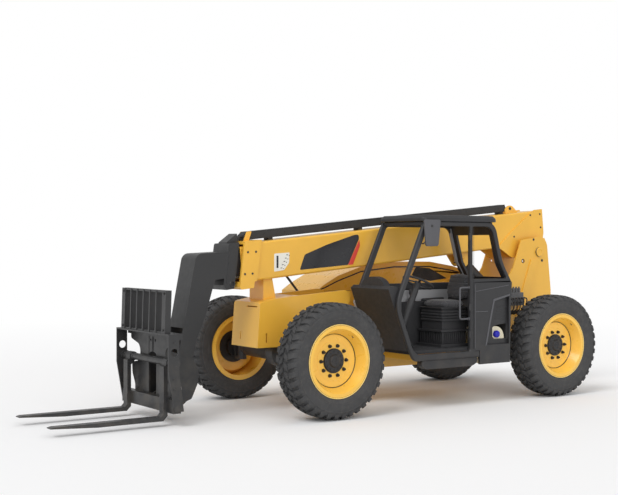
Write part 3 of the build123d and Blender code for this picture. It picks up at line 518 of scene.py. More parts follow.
def add_tube(bm, path, radius, sides=12):
    """A bent rod along the points."""
    path = [Vector(p) for p in path]
    rings = []
    up = Vector((0.31, 0.17, 0.93))
    for i, p in enumerate(path):
        ahead = (path[min(i + 1, len(path) - 1)] - path[max(i - 1, 0)]).normalized()
        first = ahead.cross(up).normalized()
        second = ahead.cross(first)
        turns = [2 * pi * k / sides for k in range(sides)]
        rings.append([bm.verts.new(p + first * radius * cos(a) + second * radius * sin(a)) for a in turns])
    for a, b in zip(rings, rings[1:]):
        for k in range(sides):
            m = (k + 1) % sides
            bm.faces.new((a[k], a[m], b[m], b[k]))
    bm.faces.new(rings[0])
    bm.faces.new(rings[-1][::-1])


def bend(points, radius):
    """A path with its inner corners rounded."""
    out = [Vector(points[0])]
    for before, mid, after in zip(points, points[1:], points[2:]):
        before, mid, after = Vector(before), Vector(mid), Vector(after)
        out += arc(mid + (before - mid).normalized() * radius, mid, mid + (after - mid).normalized() * radius, 5)
    return out + [Vector(points[-1])]


def add_bolt(bm, at, out, radius=0.010, head=0.007):
    """A bolt head on its washer; out points away from the face."""
    at, out = Vector(at), Vector(out)
    add_rod(bm, at, at + out * 0.002, radius * 1.45, 20)
    add_rod(bm, at + out * 0.002, at + out * (0.002 + head), radius, 6)


# Boom: side panel with its stripe, load chart without lettering, bolts, brackets of the hose carrier

BOOM_SIDE = 0.2
CHART_X = 0.2014


def decal(name, points, material, lift, corner):
    """A thin sheet on both sides of the boom; points are station and height."""
    for s, tag in SIDES:
        bm = bmesh.new()
        add_plate(bm, rounded(yz(points), corner), s * BOOM_SIDE, s * (BOOM_SIDE + lift))
        piece(f"{name}_{tag}", bm, material, "boom_outer")


decal("wedge_panel", [(0.148, 1.599), (0.219, 1.778), (0.534, 1.893), (0.927, 2.008), (0.995, 2.015), (1.007, 1.968),
                      (0.842, 1.652)], "panel_black", 0.0014, 0.02)
decal("wedge_stripe", [(1.010, 1.955), (1.020, 1.880), (0.915, 1.655), (0.842, 1.652)], "red_stripe", 0.0018, 0.004)
decal("load_chart", [(-0.202, 1.789), (0.006, 1.802), (0.0, 1.683), (-0.067, 1.601), (-0.202, 1.585)], "label_white",
      0.0014, 0.01)
for s, tag in SIDES:
    bm = bmesh.new()
    add_plate(bm, yz([(-0.171, 1.765), (-0.145, 1.766), (-0.145, 1.625), (-0.171, 1.625)]), s * CHART_X, s * 0.2020)
    for t in (0.0, 0.25, 0.5, 0.75, 1.0):
        mid = Vector((s * CHART_X, row(-0.105) + 0.08 * t, 1.625 + 0.15 * t))
        for half in (Vector((0.0006, 0.012, 0.004)), Vector((0.0006, 0.006, 0.004))):
            add_box(bm, mid - half, mid + half)
            mid += Vector((0, 0.028, -0.010))
    piece("load_chart_marks_" + tag, bm, "panel_black", "boom_outer")
    bm = bmesh.new()
    for station, z in ((-0.562, 1.807), (-0.457, 1.811), (-0.601, 1.562), (-0.502, 1.566)):
        add_bolt(bm, (s * 0.22, row(station), z), (s, 0, 0), 0.009, 0.005)
    piece("collar_bolts_" + tag, bm, "black_paint", "boom_outer")
    bm = bmesh.new()
    add_plate(bm, rounded(along_boom([(-4.45, 0.569), (-4.375, 0.569), (-4.33, 0.672), (-4.395, 0.672)]), 0.01),
              s * 0.063, s * 0.075)
    add_plate(bm, rounded(along_boom([(-0.345, 0.547), (-0.345, 0.61), (-0.30, 0.648), (-0.252, 0.655), (-0.205, 0.64),
                                      (-0.11, 0.547)]), 0.02), s * 0.064, s * 0.078)
    piece("carrier_brackets_" + tag, bm, "yellow_paint", "boom_outer", bevel=0.0015)
    bm = bmesh.new()
    y, z = boom_yz(-0.256, 0.612)
    add_rod(bm, (s * 0.078, y, z), (s * 0.084, y, z), 0.02, 24)
    add_bolt(bm, (s * 0.083, y, z), (s, 0, 0), 0.012)
    for u, v in ((-0.02, 0.50), (0.16, 0.50), (0.16, 0.32), (-0.35, 0.24)):
        y, z = boom_yz(u, v)
        add_bolt(bm, (s * 0.215, y, z), (s, 0, 0), 0.009)
    piece("boom_rear_bolts_" + tag, bm, "black_paint", "boom_outer")

# Rigid oil lines from the carrier's front end down into the collar
for k, x in enumerate((-0.042, -0.014, 0.014, 0.042)):
    bm = bmesh.new()
    route = [(-4.43, 0.625), (-4.485 - 0.004 * k, 0.622), (-4.50 - 0.004 * k, 0.545)]
    path = bend([(x, *boom_yz(u, v)) for u, v in route], 0.026)
    add_tube(bm, path, 0.0095)
    a, b = Vector(path[0]), Vector(path[1])
    add_rod(bm, a, a + (b - a).normalized() * 0.02, 0.014, 6)
    piece(f"oil_line_{k}", bm, "black_plastic", "boom_outer", bevel=0.001)

# Long strips and clamps on the hose carrier
bm = bmesh.new()
for s in (1, -1):
    for v in (0.586, 0.662):
        add_plate(bm, along_boom([(-4.40, v), (-4.40, v + 0.006), (-0.335, v + 0.006), (-0.335, v)]), s * 0.0595,
                  s * 0.0625)
for k in range(14):
    y, z = boom_yz(-4.15 + k * 0.285, 0.665)
    for s in (1, -1):
        add_bolt(bm, (s * 0.06, y, z - 0.035), (s, 0, 0), 0.006, 0.004)
piece("carrier_trim", bm, "black_plastic", "boom_outer", bevel=0.001)

# Boom head: rib along its face, plates and the ends of the tilt pin
for s, tag in SIDES:
    bm = bmesh.new()
    add_plate(bm, rounded(along_boom([(-4.772, 0.12), (-4.760, 0.12), (-4.665, 0.55), (-4.677, 0.55)]), 0.003),
              s * 0.1645, s * 0.168)
    y, z = boom_yz(-4.692, 0.109)
    add_turned(bm, [(0.0, 0.022), (0.004, 0.024), (0.006, 0.032), (0.0, 0.036)], (s * 0.165, y, z), (s, 0, 0), 36)
    for station, height in ((-1.235, 1.275), (-1.262, 1.1)):
        add_rod(bm, (s * 0.165, row(station) + 0.03, height), (s * 0.1665, row(station) + 0.03, height), 0.012, 20)
    piece("head_trim_" + tag, bm, "black_paint", "boom_inner", bevel=0.001)
    bm = bmesh.new()
    pin = Vector((s * 0.21, row(-1.42), 0.343))
    add_turned(bm, [(0.0, 0.031), (0.003, 0.030), (0.005, 0.026), (0.005, 0.0005)], pin, (s, 0, 0), 32)
    add_bolt(bm, pin + Vector((s * 0.004, 0, 0)), (s, 0, 0), 0.009)
    piece("tilt_pin_end_" + tag, bm, "steel", "boom_inner")

# Tower: cap of the boom's pivot, and bolts
for s, tag in SIDES:
    bm = bmesh.new()
    pin = Vector((s * 0.3253, 3.345, 1.799))
    add_turned(bm, [(0.0, 0.062), (0.004, 0.060), (0.006, 0.054), (0.006, 0.040), (0.002, 0.036), (0.002, 0.0005)],
               pin, (s, 0, 0), 40)
    piece("pivot_cap_" + tag, bm, "yellow_paint")
    bm = bmesh.new()
    for station, z, r in ((4.012, 1.686, 0.013), (3.852, 1.965, 0.012), (3.30, 1.20, 0.01), (3.12, 0.95, 0.01),
                          (4.09, 0.95, 0.01), (4.09, 1.2, 0.01)):
        add_bolt(bm, (s * 0.303, row(station), z), (s, 0, 0), r)
    add_turned(bm, [(0.0, 0.016), (0.003, 0.018), (0.003, 0.026), (0.0, 0.028)], (s * 0.303, row(3.655), 1.68),
               (s, 0, 0), 28)
    piece("tower_bolts_" + tag, bm, "black_paint", bevel=0.0008)

# Control valve with its fittings and pipes on the tower's cab side
PORTS = [2.70 + 0.05 * k for k in range(5)]
bm = bmesh.new()
add_box(bm, (0.317, 2.67, 1.10), (0.43, 2.93, 1.27))
for y in PORTS:
    for x0, z0, x1, z1, radius, sides in (
            (0.375, 1.27, 0.375, 1.325, 0.019, 20), (0.375, 1.325, 0.375, 1.345, 0.012, 6),
            (0.43, 1.20, 0.47, 1.20, 0.015, 6), (0.43, 1.14, 0.455, 1.14, 0.013, 6)):
        add_rod(bm, (x0, y, z0), (x1, y, z1), radius, sides)
piece("control_valve", bm, "engine", bevel=0.002)
for k, y in enumerate(PORTS):
    bm = bmesh.new()
    out = 0.50 + 0.006 * k
    add_tube(bm, bend([(0.465, y, 1.20), (out, y, 1.20), (out, y - 0.02, 1.05), (0.33, y - 0.06, 0.98)], 0.03), 0.0085)
    piece(f"valve_line_{k}", bm, "black_plastic")

# Cab: grab handle, pillar channels, crease strips in a lighter grey as painted highlight, tank cover and the grip of
# its cap
CAB_SKIN = (1.1495, 1.1525)
bm = bmesh.new()
handle = yz([(1.94, 1.388), (1.782, 1.388), (1.782, 1.02), (1.94, 1.02)])
add_tube(bm, bend([(1.128, *place) for place in handle], 0.03), 0.0115)
for z in (1.388, 1.02):
    add_rod(bm, (1.128, row(1.925), z), (1.128, row(1.915), z), 0.02, 20)
piece("grab_handle", bm, "handle_grey")
bm = bmesh.new()
for s0 in (1.9335, 1.955, 1.9795):
    add_plate(bm, yz([(s0, 0.66), (s0 + 0.004, 0.66), (s0 + 0.004, 2.09), (s0, 2.09)]), *CAB_SKIN)
for z in (1.95, 1.12, 0.80):
    add_box(bm, (1.15, row(1.902), z), (1.161, row(1.935), z + 0.07))
    add_rod(bm, (1.158, row(1.913), z - 0.008), (1.158, row(1.913), z + 0.078), 0.008, 16)
piece("pillar_trim", bm, "cab_paint", bevel=0.001)
bm = bmesh.new()
for a, b in (((2.0, 1.338), (2.55, 1.405)), ((2.0, 1.10), (2.21, 1.10)), ((2.005, 0.67), (2.005, 1.42))):
    d = Vector((b[0] - a[0], b[1] - a[1])).normalized() * 0.004
    add_plate(bm, yz([(a[0] - d.y, a[1] + d.x), (b[0] - d.y, b[1] + d.x), (b[0] + d.y, b[1] - d.x),
                      (a[0] + d.y, a[1] - d.x)]), *CAB_SKIN)
rim = [(2.572, 1.30), (2.30, 1.242), (2.238, 1.005), (2.166, 0.69), (2.19, 0.70), (2.262, 0.998), (2.318, 1.22),
       (2.572, 1.277)]
add_plate(bm, yz(rim), 1.1495, 1.1545)
# The crease strips take a lighter grey than the cab: a painted highlight along the creases.
piece("side_panel_crease_highlights", bm, "handle_grey", bevel=0.001)
bm = bmesh.new()
add_plate(bm, yz([(2.17, 0.655), (2.572, 0.655), (2.572, 0.762), (2.35, 0.762), (2.318, 0.79), (2.318, 0.895),
                  (2.352, 0.925), (2.572, 0.945), (2.572, 1.31), (2.29, 1.24), (2.24, 1.0)]), 1.101, 1.112)
for k in range(4):
    z = 1.00 + 0.045 * k
    add_box(bm, (1.112, row(2.36) + 0.012 * k, z), (1.116, row(2.54), z + 0.012))
piece("tank_cover", bm, "cab_paint", bevel=0.0015)
bm = bmesh.new()
cap = Vector((1.135, row(2.38), 0.82))
add_turned(bm, [(0.0, 0.0385), (0.006, 0.036), (0.010, 0.030), (0.010, 0.0005)], cap, (1, 0, 0), 40)
for k in range(20):
    a = 2 * pi * k / 20
    at = Vector((0, 0.0405 * cos(a), 0.0405 * sin(a)))
    add_rod(bm, cap + at + Vector((-0.024, 0, 0)), cap + at + Vector((-0.002, 0, 0)), 0.003, 8)
piece("tank_cap_grip", bm, "blue_cap")

# Mirrors: shells with rounded corners, stay, bracket and glass, standing for the plain heads
def mirror(tag, x0, x1, outline, glass_x, path, radius):
    """One mirror's shell, glass and stay; the glass stands out of the shell at glass_x."""
    bm = bmesh.new()
    add_plate(bm, rounded(yz(outline), 0.03, 6), x0, x1)
    shell = piece("mirror_shell_" + tag, bm, "mirror_shell", bevel=0.007)
    shell.modifiers["edges"].segments = 4
    centre = Vector((sum(p[0] for p in outline) / len(outline), sum(p[1] for p in outline) / len(outline)))
    inset = [tuple(centre + (Vector(p) - centre) * 0.86) for p in outline]
    bm = bmesh.new()
    add_plate(bm, rounded(yz(inset), 0.025, 6), glass_x, (x0 + x1) / 2)
    piece("mirror_glass_" + tag, bm, "mirror_glass")
    bm = bmesh.new()
    add_tube(bm, bend(path, 0.02), radius)
    piece("mirror_stay_" + tag, bm, "black_paint")
    return shell


left = mirror("left", 1.166, 1.194, [(1.19, 2.178), (1.435, 2.178), (1.40, 1.875), (1.215, 1.872)], 1.1645, [
    (1.148, row(1.205), 1.905), (1.158, row(1.205), 1.905), (1.162, row(1.24), 1.93), (1.176, row(1.28), 1.95)], 0.009)
right = mirror("right", -1.110, -1.082, [(0.565, 1.855), (0.70, 1.855), (0.695, 1.565), (0.57, 1.562)], -1.0805, [
    (-1.096, row(0.60), 1.70), (-1.096, row(0.60), 1.545), (-0.65, row(0.50), 1.53), (-0.65, row(0.74), 1.255),
    (-0.65, row(0.765), 1.24)], 0.015)
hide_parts("mirrors")
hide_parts("mirrors")
bm = bmesh.new()
add_turned(bm, [(0.0, 0.016), (0.004, 0.015), (0.005, 0.010), (0.005, 0.0005)], (1.194, row(1.30), 2.105),
           (1, 0, 0), 28)
piece("mirror_bolt", bm, "black_paint")

# Seat: cushion and backrest as padded covers, on a moulded shell

ROWS = 11
VOXEL, VOXEL_QUICK = 0.006, 0.009
SWELL = 0.012
COVER_FRAMES = 20


def settle(obj):
    """Applies an object's modifiers to its mesh."""
    bpy.context.view_layer.update()
    graph = bpy.context.evaluated_depsgraph_get()
    mesh = bpy.data.meshes.new_from_object(obj.evaluated_get(graph))
    obj.modifiers.clear()
    obj.data = mesh


def pad(name, low, high, channels, lean=0.0, taper=0.0):
    """A crowned cushion between two corners, its cover swollen by cloth pressure.

    Each channel is a sewn line: the axis it crosses, its place there, its depth and half its width.
    """
    low, high = Vector(low), Vector(high)
    size, mid = high - low, (low + high) / 2
    bm = bmesh.new()
    bmesh.ops.create_cube(bm, size=2.0)
    bmesh.ops.subdivide_edges(bm, edges=bm.edges, cuts=ROWS, use_grid_fill=True)
    for v in bm.verts:
        a, b, c = v.co
        k = (1 - 0.16 * b * b) * (1 - 0.10 * c * c)
        m = (1 - 0.16 * a * a) * (1 - 0.10 * c * c)
        h = (1 - 0.22 * a * a) * (1 - 0.22 * b * b)
        up = (c + 1) / 2
        v.co = Vector((a * k * size.x / 2 * 0.98 * (1 - taper * up * up), b * m * size.y / 2 * 0.94,
                       c * h * size.z / 2 * 0.96)) + mid
        v.co.y += lean * up
    obj = show(name, new_mesh(name, bm))
    bpy.context.view_layer.objects.active = obj
    remesh = obj.modifiers.new("voxels", "REMESH")
    remesh.mode = "VOXEL"
    remesh.voxel_size = VOXEL
    settle(obj)
    start = [v.co.copy() for v in obj.data.vertices]
    cloth = obj.modifiers.new("cover", "CLOTH")
    cover = cloth.settings
    cover.use_pressure = True
    cover.uniform_pressure_force = 4.0
    cover.quality = 6
    cover.mass = 0.25
    cover.effector_weights.gravity = 0.0
    cover.tension_stiffness = cover.compression_stiffness = 14.0
    cover.bending_stiffness = 0.6
    cloth.point_cache.frame_start = 1
    cloth.point_cache.frame_end = COVER_FRAMES
    for f in range(1, COVER_FRAMES + 1):
        scene.frame_set(f)
    settle(obj)
    scene.frame_set(1)
    for v, old in zip(obj.data.vertices, start):
        move = v.co - old
        if move.length > SWELL:
            v.co = old + move.normalized() * SWELL
    even = obj.modifiers.new("even", "SMOOTH")
    even.factor = 0.5
    even.iterations = 4
    sub = obj.modifiers.new("finer", "SUBSURF")
    sub.levels = sub.render_levels = 1
    settle(obj)
    for v in obj.data.vertices:
        for axis, at, depth, width in channels:
            gap = abs(v.co[axis] - at)
            if gap < width:
                v.co -= v.normal * depth * (0.5 + 0.5 * cos(pi * gap / width))
    obj.data.shade_smooth()
    obj.data.materials.append(materials["seat_cover"])
    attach(obj, "chassis")
    return obj


cushion = pad("seat_cushion", (0.528, 1.045, 1.142), (0.972, 1.472, 1.226), [
    (0, 0.612, 0.005, 0.009), (0, 0.888, 0.005, 0.009), *((1, y, 0.004, 0.008) for y in (1.16, 1.26, 1.36))])
back = pad("seat_back", (0.535, 1.448, 1.215), (0.965, 1.530, 1.560), [
    *((2, z, 0.005, 0.010) for z in (1.285, 1.335, 1.385, 1.435, 1.485)),
    (0, 0.60, 0.004, 0.008), (0, 0.90, 0.004, 0.008)], lean=0.035, taper=0.10)
bm = bmesh.new()
add_plate(bm, rounded([(1.050, 1.132), (1.050, 1.152), (1.475, 1.152), (1.512, 1.25), (1.552, 1.52), (1.572, 1.52),
                       (1.532, 1.22), (1.495, 1.132)], 0.01), 0.545, 0.955)
shell = piece("seat_shell", bm, "black_plastic", bevel=0.006)
for obj in (shell, cushion, back):
    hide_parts("seat")

# Bellows under the seat and its ribbed plinth
bm = bmesh.new()
for k in range(4):
    z = 0.985 + 0.034 * k
    out = 0.012 if k % 2 == 0 else 0.006
    x0, x1, y0, y1 = 0.56 - out, 0.94 + out, 1.07 - out, 1.46 + out
    ring = rounded([(x0, y0), (x1, y0), (x1, y1), (x0, y1)], 0.03)
    add_prism(bm, [(x, y, z) for x, y in ring], [(x, y, z + 0.026) for x, y in ring])
piece("seat_bellows", bm, "rubber_mat", bevel=0.007)
bm = bmesh.new()
add_box(bm, (0.53, 1.03, 0.681), (0.97, 1.475, 0.715))
add_box(bm, (0.54, 1.04, 0.86), (0.96, 1.47, 0.885))
for k in range(13):
    x = 0.552 + 0.032 * k
    add_box(bm, (x, 1.060, 0.70), (x + 0.012, 1.0755, 0.87))
for k in range(12):
    y = 1.085 + 0.031 * k
    add_box(bm, (0.9295, y, 0.70), (0.944, y + 0.012, 0.87))
piece("seat_plinth_ribs", bm, "black_plastic", bevel=0.003)

# Console: armrest, lever boot and grip, switches
bm = bmesh.new()
add_plate(bm, rounded(yz([(1.80, 1.20), (1.80, 1.235), (2.10, 1.245), (2.10, 1.20)]), 0.015), 0.402, 0.498)
piece("armrest", bm, "black_plastic", bevel=0.012)
bm = bmesh.new()
stick = Vector((0.45, row(1.60), 1.20))
add_turned(bm, [(0.0, 0.045), (0.008, 0.043), (0.016, 0.036), (0.022, 0.037), (0.030, 0.029), (0.036, 0.030),
                (0.05, 0.018), (0.06, 0.0125)], stick, (0, 0, 1), 32)
add_turned(bm, [(0.085, 0.013), (0.095, 0.019), (0.115, 0.022), (0.135, 0.0225), (0.150, 0.019), (0.155, 0.010),
                (0.155, 0.0005)], stick, (0, 0, 1), 28)
for k in range(6):
    y0, y1 = row(1.66) + 0.035 * k, row(1.685) + 0.035 * k
    add_box(bm, (0.425, y0, 1.199), (0.445, y1, 1.206))
    add_box(bm, (0.46, y0, 1.199), (0.48, y1, 1.205))
piece("lever_and_switches", bm, "black_plastic", bevel=0.0015)

# Dials on the dash, pedals and the ribs of the floor mat
DIALS = (0.66, 0.75, 0.84)
DIAL_AXIS = (0, 1, 0.28)
bm = bmesh.new()
for x in DIALS:
    add_turned(bm, [(-0.004, 0.036), (0.006, 0.036), (0.006, 0.031), (0.002, 0.030)], (x, 0.296, 1.382), DIAL_AXIS, 32)
piece("dial_rims", bm, "black_plastic")
bm = bmesh.new()
for x in DIALS:
    add_turned(bm, [(0.0, 0.031), (0.002, 0.030), (0.002, 0.0005)], (x, 0.296, 1.382), DIAL_AXIS, 32)
    add_rod(bm, (x, 0.2985, 1.382), (x + 0.018, 0.2985, 1.395), 0.0012, 6)
piece("dial_faces", bm, "label_white")
bm = bmesh.new()
for x, w in ((0.66, 0.05), (0.88, 0.045)):
    base = Vector((x, row(1.115), 0.683))
    turn = Matrix.Rotation(radians(-52), 3, "X")
    add_box(bm, base + Vector((-w, 0.03, 0.06)), base + Vector((w, 0.17, 0.074)), turn)
    for k in range(5):
        off = turn @ Vector((0, -0.05 + 0.025 * k, 0.010))
        mid = base + Vector((0, 0.10, 0.067)) + off
        add_box(bm, mid - Vector((w * 0.85, 0.004, 0.004)), mid + Vector((w * 0.85, 0.004, 0.004)), turn)
    add_rod(bm, base, base + Vector((0, 0.09, 0.05)), 0.009, 12)
piece("pedals", bm, "rubber_mat", bevel=0.002)
bm = bmesh.new()
for k in range(22):
    x = 0.52 + 0.025 * k
    add_box(bm, (x, row(1.14), 0.679), (x + 0.010, row(1.60), 0.6845))
for k in range(2):
    add_box(bm, (0.50, row(1.12 + 0.50 * k), 0.679), (1.08, row(1.135 + 0.50 * k), 0.686))
piece("floor_mat_ribs", bm, "rubber_mat", bevel=0.001)

# Pod: louvres, fasteners and latch on the outer wall
bm = bmesh.new()
for k in range(11):
    z = 0.80 + 0.04 * k
    add_box(bm, (-1.132, row(1.25), z), (-1.119, row(2.15), z + 0.012), Matrix.Rotation(radians(24), 3, "Y"))
add_box(bm, (-1.127, row(1.22), 0.77), (-1.119, row(1.245), 1.24))
add_box(bm, (-1.127, row(2.155), 0.77), (-1.119, row(2.18), 1.24))
piece("pod_louvres", bm, "hood_panel", bevel=0.002)
bm = bmesh.new()
for s0 in (0.95, 2.35):
    for z in (0.70, 1.27):
        add_bolt(bm, (-1.12, row(s0), z), (-1, 0, 0), 0.009)
for s0 in (0.80, 1.70, 2.56):
    add_bolt(bm, (-1.12, row(s0), 1.29), (-1, 0, 0), 0.009)
add_box(bm, (-1.134, row(1.66), 1.33), (-1.119, row(1.76), 1.37))
piece("pod_fasteners", bm, "black_paint", bevel=0.001)

# Roof: long ribs
bm = bmesh.new()
for k in range(6):
    x = 0.46 + 0.116 * k
    add_plate(bm, rounded(yz([(1.30, 2.2325), (1.31, 2.2365), (2.28, 2.2365), (2.29, 2.2325)]), 0.002), x, x + 0.045)
piece("roof_ribs", bm, "cab_paint", bevel=0.002)

# Wheels: beads on the disc, dark rings as painted shade in the grooves, a light ring as painted highlight on the
# flange edge, and valve stem
STEM_TURN = 0.6
RINGS = {
    "disc_bead": ("wheel_paint", [(0.0365, 0.276), (0.040, 0.278), (0.0405, 0.283), (0.0365, 0.285)],
                  [(0.0365, 0.213), (0.0395, 0.2145), (0.0395, 0.2175), (0.0365, 0.219)]),
    # Dark rings standing for the grooves: painted shade.
    "rim_groove_shade": ("panel_black", [(0.0368, 0.2865), (0.0385, 0.2885), (0.046, 0.2915), (0.0445, 0.2935)],
                   [(0.1545, 0.386), (0.1570, 0.3875), (0.1570, 0.3895), (0.1545, 0.391)]),
    # A light ring on the flange edge: painted highlight.
    "flange_edge": ("wheel_edge", [(0.1555, 0.3935), (0.1590, 0.395), (0.1600, 0.398), (0.1590, 0.4005),
                                   (0.1555, 0.402)]),
}
for corner, (side, end, body) in CORNERS.items():
    centre = Vector((side * WHEEL_X, AXLE_Y[end], TYRE_R))
    for name, (material, *profiles) in RINGS.items():
        bm = bmesh.new()
        for profile in profiles:
            add_turned(bm, profile, centre, (side, 0, 0), 96)
        piece(f"{name}_{corner}", bm, material, body)
    bm = bmesh.new()
    foot = centre + spoke(side * 0.128, 0.322, STEM_TURN)
    add_rod(bm, foot, foot + spoke(side * 0.030, -0.016, STEM_TURN), 0.004, 12)
    add_rod(bm, foot + spoke(side * 0.022, -0.012, STEM_TURN), foot + spoke(side * 0.036, -0.018, STEM_TURN),
            0.0055, 12)
    piece("valve_stem_" + corner, bm, "black_plastic", body)

# Carriage and forks: bolts, rings on the fork shaft, plates at the eyes and heels of the forks
FORK_SHAFT = (row(-1.667), 0.66)
bm = bmesh.new()
for s in (1, -1):
    for station, z in ((-1.70, 0.40), (-1.70, 0.50), (-1.70, 0.88)):
        add_bolt(bm, (s * 0.635, row(station), z), (s, 0, 0), 0.011)
    for x in (0.36, 0.52):
        add_turned(bm, [(0.0, 0.030), (0.0, 0.042), (0.018, 0.042), (0.018, 0.030)], (s * x - 0.009, *FORK_SHAFT),
                   (1, 0, 0), 32)
    for z, lean in ((1.0, 0.0), (1.38, 0.012)):
        add_bolt(bm, (s * 0.49, row(-1.757) + lean, z), (0, -1, 0), 0.010)
    for z in (0.32, 0.44):
        add_bolt(bm, (s * 0.35, row(-1.632), z), (0, -1, 0), 0.012)
piece("carriage_fasteners", bm, "black_paint", "fork_carriage", bevel=0.001)
bm = bmesh.new()
for s in (1, -1):
    x = s * 0.44
    add_box(bm, (x - 0.012, row(-1.745) - 0.001, 0.58), (x + 0.012, row(-1.745) + 0.01, 0.60))
    add_box(bm, (x - 0.045, row(-1.748), 0.16), (x + 0.045, row(-1.744), 0.25))
piece("fork_plates", bm, "black_paint", "fork_carriage", bevel=0.001)

# Sleeves on the fork shaft, and the web that closes the carriage over the gooseneck
bm = bmesh.new()
shaft_y, shaft_z = FORK_SHAFT
for x0, x1 in ((-0.386, 0.386), (0.494, 0.575), (-0.575, -0.494)):
    add_rod(bm, (x0, shaft_y, shaft_z), (x1, shaft_y, shaft_z), 0.038, 32)
    for x in (x0, x1 - 0.014):
        add_rod(bm, (x, shaft_y, shaft_z), (x + 0.014, shaft_y, shaft_z), 0.043, 32)
piece("shaft_sleeves", bm, "black_paint", "fork_carriage", bevel=0.002)
bm = bmesh.new()
web_y = row(-1.632)
arch = [(0.094 * c, 0.700 + 0.040 * (1 - abs(c)) ** 0.5) for c in (-1, -0.85, -0.5, 0, 0.5, 0.85, 1)]
edge = [(-0.094, 0.902)] + arch + [(0.094, 0.902)]
add_prism(bm, [(x, web_y + 0.004, z) for x, z in edge], [(x, web_y + 0.014, z) for x, z in edge])
add_box(bm, (-0.006, web_y - 0.004, 0.745), (0.006, web_y + 0.006, 0.900))
for s in (1, -1):
    add_bolt(bm, (s * 0.055, web_y + 0.004, 0.86), (0, -1, 0), 0.012)
piece("carriage_web", bm, "black_paint", "fork_carriage", bevel=0.001)

# Cab frame and roof with the rounded edges of bent tube, standing for the square CAD ones

def corner_arcs(points, radii):
    """The outline with its corners rounded, each by its own radius, or a small one."""
    out = []
    for i, mid in enumerate(points):
        mid, r = Vector(mid), radii.get(i, 0.012)
        before, after = Vector(points[i - 1]), Vector(points[(i + 1) % len(points)])
        a = mid + (before - mid).normalized() * min(r, (before - mid).length * 0.48)
        b = mid + (after - mid).normalized() * min(r, (after - mid).length * 0.48)
        out += arc(a, mid, b, 8)
    return out


def bent_frame(name, loops, x0, x1, edge):
    """A flat frame of the cab with rounded edges; the first loop is its outside, in stations and heights."""
    curve = bpy.data.curves.new(name, "CURVE")
    curve.dimensions = "2D"
    curve.fill_mode = "BOTH"
    curve.extrude = (x1 - x0) / 2 - edge
    curve.bevel_depth = edge
    curve.bevel_resolution = 3
    curve.offset = -edge
    for points, radii in loops:
        ring = corner_arcs(points, radii)
        spline = curve.splines.new("POLY")
        spline.points.add(len(ring) - 1)
        for point, co in zip(spline.points, ring):
            point.co = (row(co.x), co.y, 0.0, 1.0)
        spline.use_cyclic_u = True
    holder = show(name + "_curve", curve)
    bpy.context.view_layer.update()
    mesh = bpy.data.meshes.new_from_object(holder.evaluated_get(bpy.context.evaluated_depsgraph_get()))
    bpy.data.objects.remove(holder)
    mesh.transform(Matrix(((0, 0, 1, (x0 + x1) / 2), (1, 0, 0, 0), (0, 1, 0, 0), (0, 0, 0, 1))))
    obj = show(name, mesh)
    mesh.materials.append(materials["cab_paint"])
    smooth(mesh, 50)
    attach(obj, "chassis")
    return obj


near = bent_frame("cab_side_frame", [
    ([(1.230, 2.160), (0.797, 1.205), (1.010, 0.680), (1.080, 0.563), (2.080, 0.563), (2.080, 0.640), (1.990, 0.640),
      (1.990, 1.442), (2.608, 1.442), (2.457, 1.685), (2.332, 2.160)],
     {0: 0.06, 1: 0.16, 2: 0.12, 3: 0.05, 6: 0.03, 9: 0.10, 10: 0.13}),
    ([(1.285, 2.105), (0.862, 1.205), (1.058, 0.700), (1.120, 0.640), (1.928, 0.640), (1.928, 2.105)],
     {0: 0.04, 1: 0.14, 2: 0.10, 3: 0.06, 4: 0.03, 5: 0.03}),
    ([(1.972, 2.105), (2.280, 2.105), (2.402, 1.685), (2.525, 1.488), (1.972, 1.488)],
     {0: 0.02, 1: 0.10, 2: 0.10, 3: 0.03, 4: 0.02}),
], 1.100, 1.150, 0.014)
far = bent_frame("cab_far_frame", [
    ([(1.230, 2.160), (0.850, 1.340), (2.608, 1.340), (2.608, 1.442), (2.457, 1.685), (2.332, 2.160)],
     {0: 0.06, 4: 0.10, 5: 0.13}),
    ([(1.285, 2.105), (0.975, 1.425), (2.540, 1.425), (2.402, 1.685), (2.280, 2.105)],
     {0: 0.04, 1: 0.03, 2: 0.03, 3: 0.10, 4: 0.10}),
], 0.350, 0.390, 0.010)
bm = bmesh.new()
add_plate(bm, yz([(2.328, 2.10), (2.279, 2.10), (2.401, 1.684), (2.541, 1.445), (2.609, 1.445), (2.459, 1.686)]),
          0.3485, 0.3915)
piece("far_rear_post", bm, "light_grey", bevel=0.008)
bm = bmesh.new()
add_box(bm, (0.385, row(1.236), 2.112), (1.105, row(1.278), 2.158))
header = piece("cab_header", bm, "cab_paint", bevel=0.008)
for obj in (near, far, header):
    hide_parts("cab_frame")
bm = bmesh.new()
left_x, right_x, front_y, rear_y = 0.337, 1.163, row(1.20), row(2.385)
ring = corner_arcs([(left_x, front_y), (right_x, front_y), (right_x, rear_y), (left_x, rear_y)],
                   {0: 0.07, 1: 0.07, 2: 0.12, 3: 0.12})
low = [bm.verts.new((p.x, p.y, 2.1605)) for p in ring]
mid = [bm.verts.new((p.x, p.y, 2.198)) for p in ring]
cx, cy = 0.75, 1.19
high = [bm.verts.new((cx + (p.x - cx) * 0.93, cy + (p.y - cy) * 0.96, 2.234)) for p in ring]
for a, b in ((low, mid), (mid, high)):
    for i in range(len(ring)):
        j = (i + 1) % len(ring)
        bm.faces.new((a[i], a[j], b[j], b[i]))
bm.faces.new(low)
bm.faces.new(high)
roof = piece("cab_roof_cover", bm, "cab_paint", bevel=0.008, angle=20)
roof.modifiers["edges"].segments = 3
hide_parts("cab_roof")

# Hood's inner side: upper band, a black plate as painted shade in the slot under it, lower panel and screen

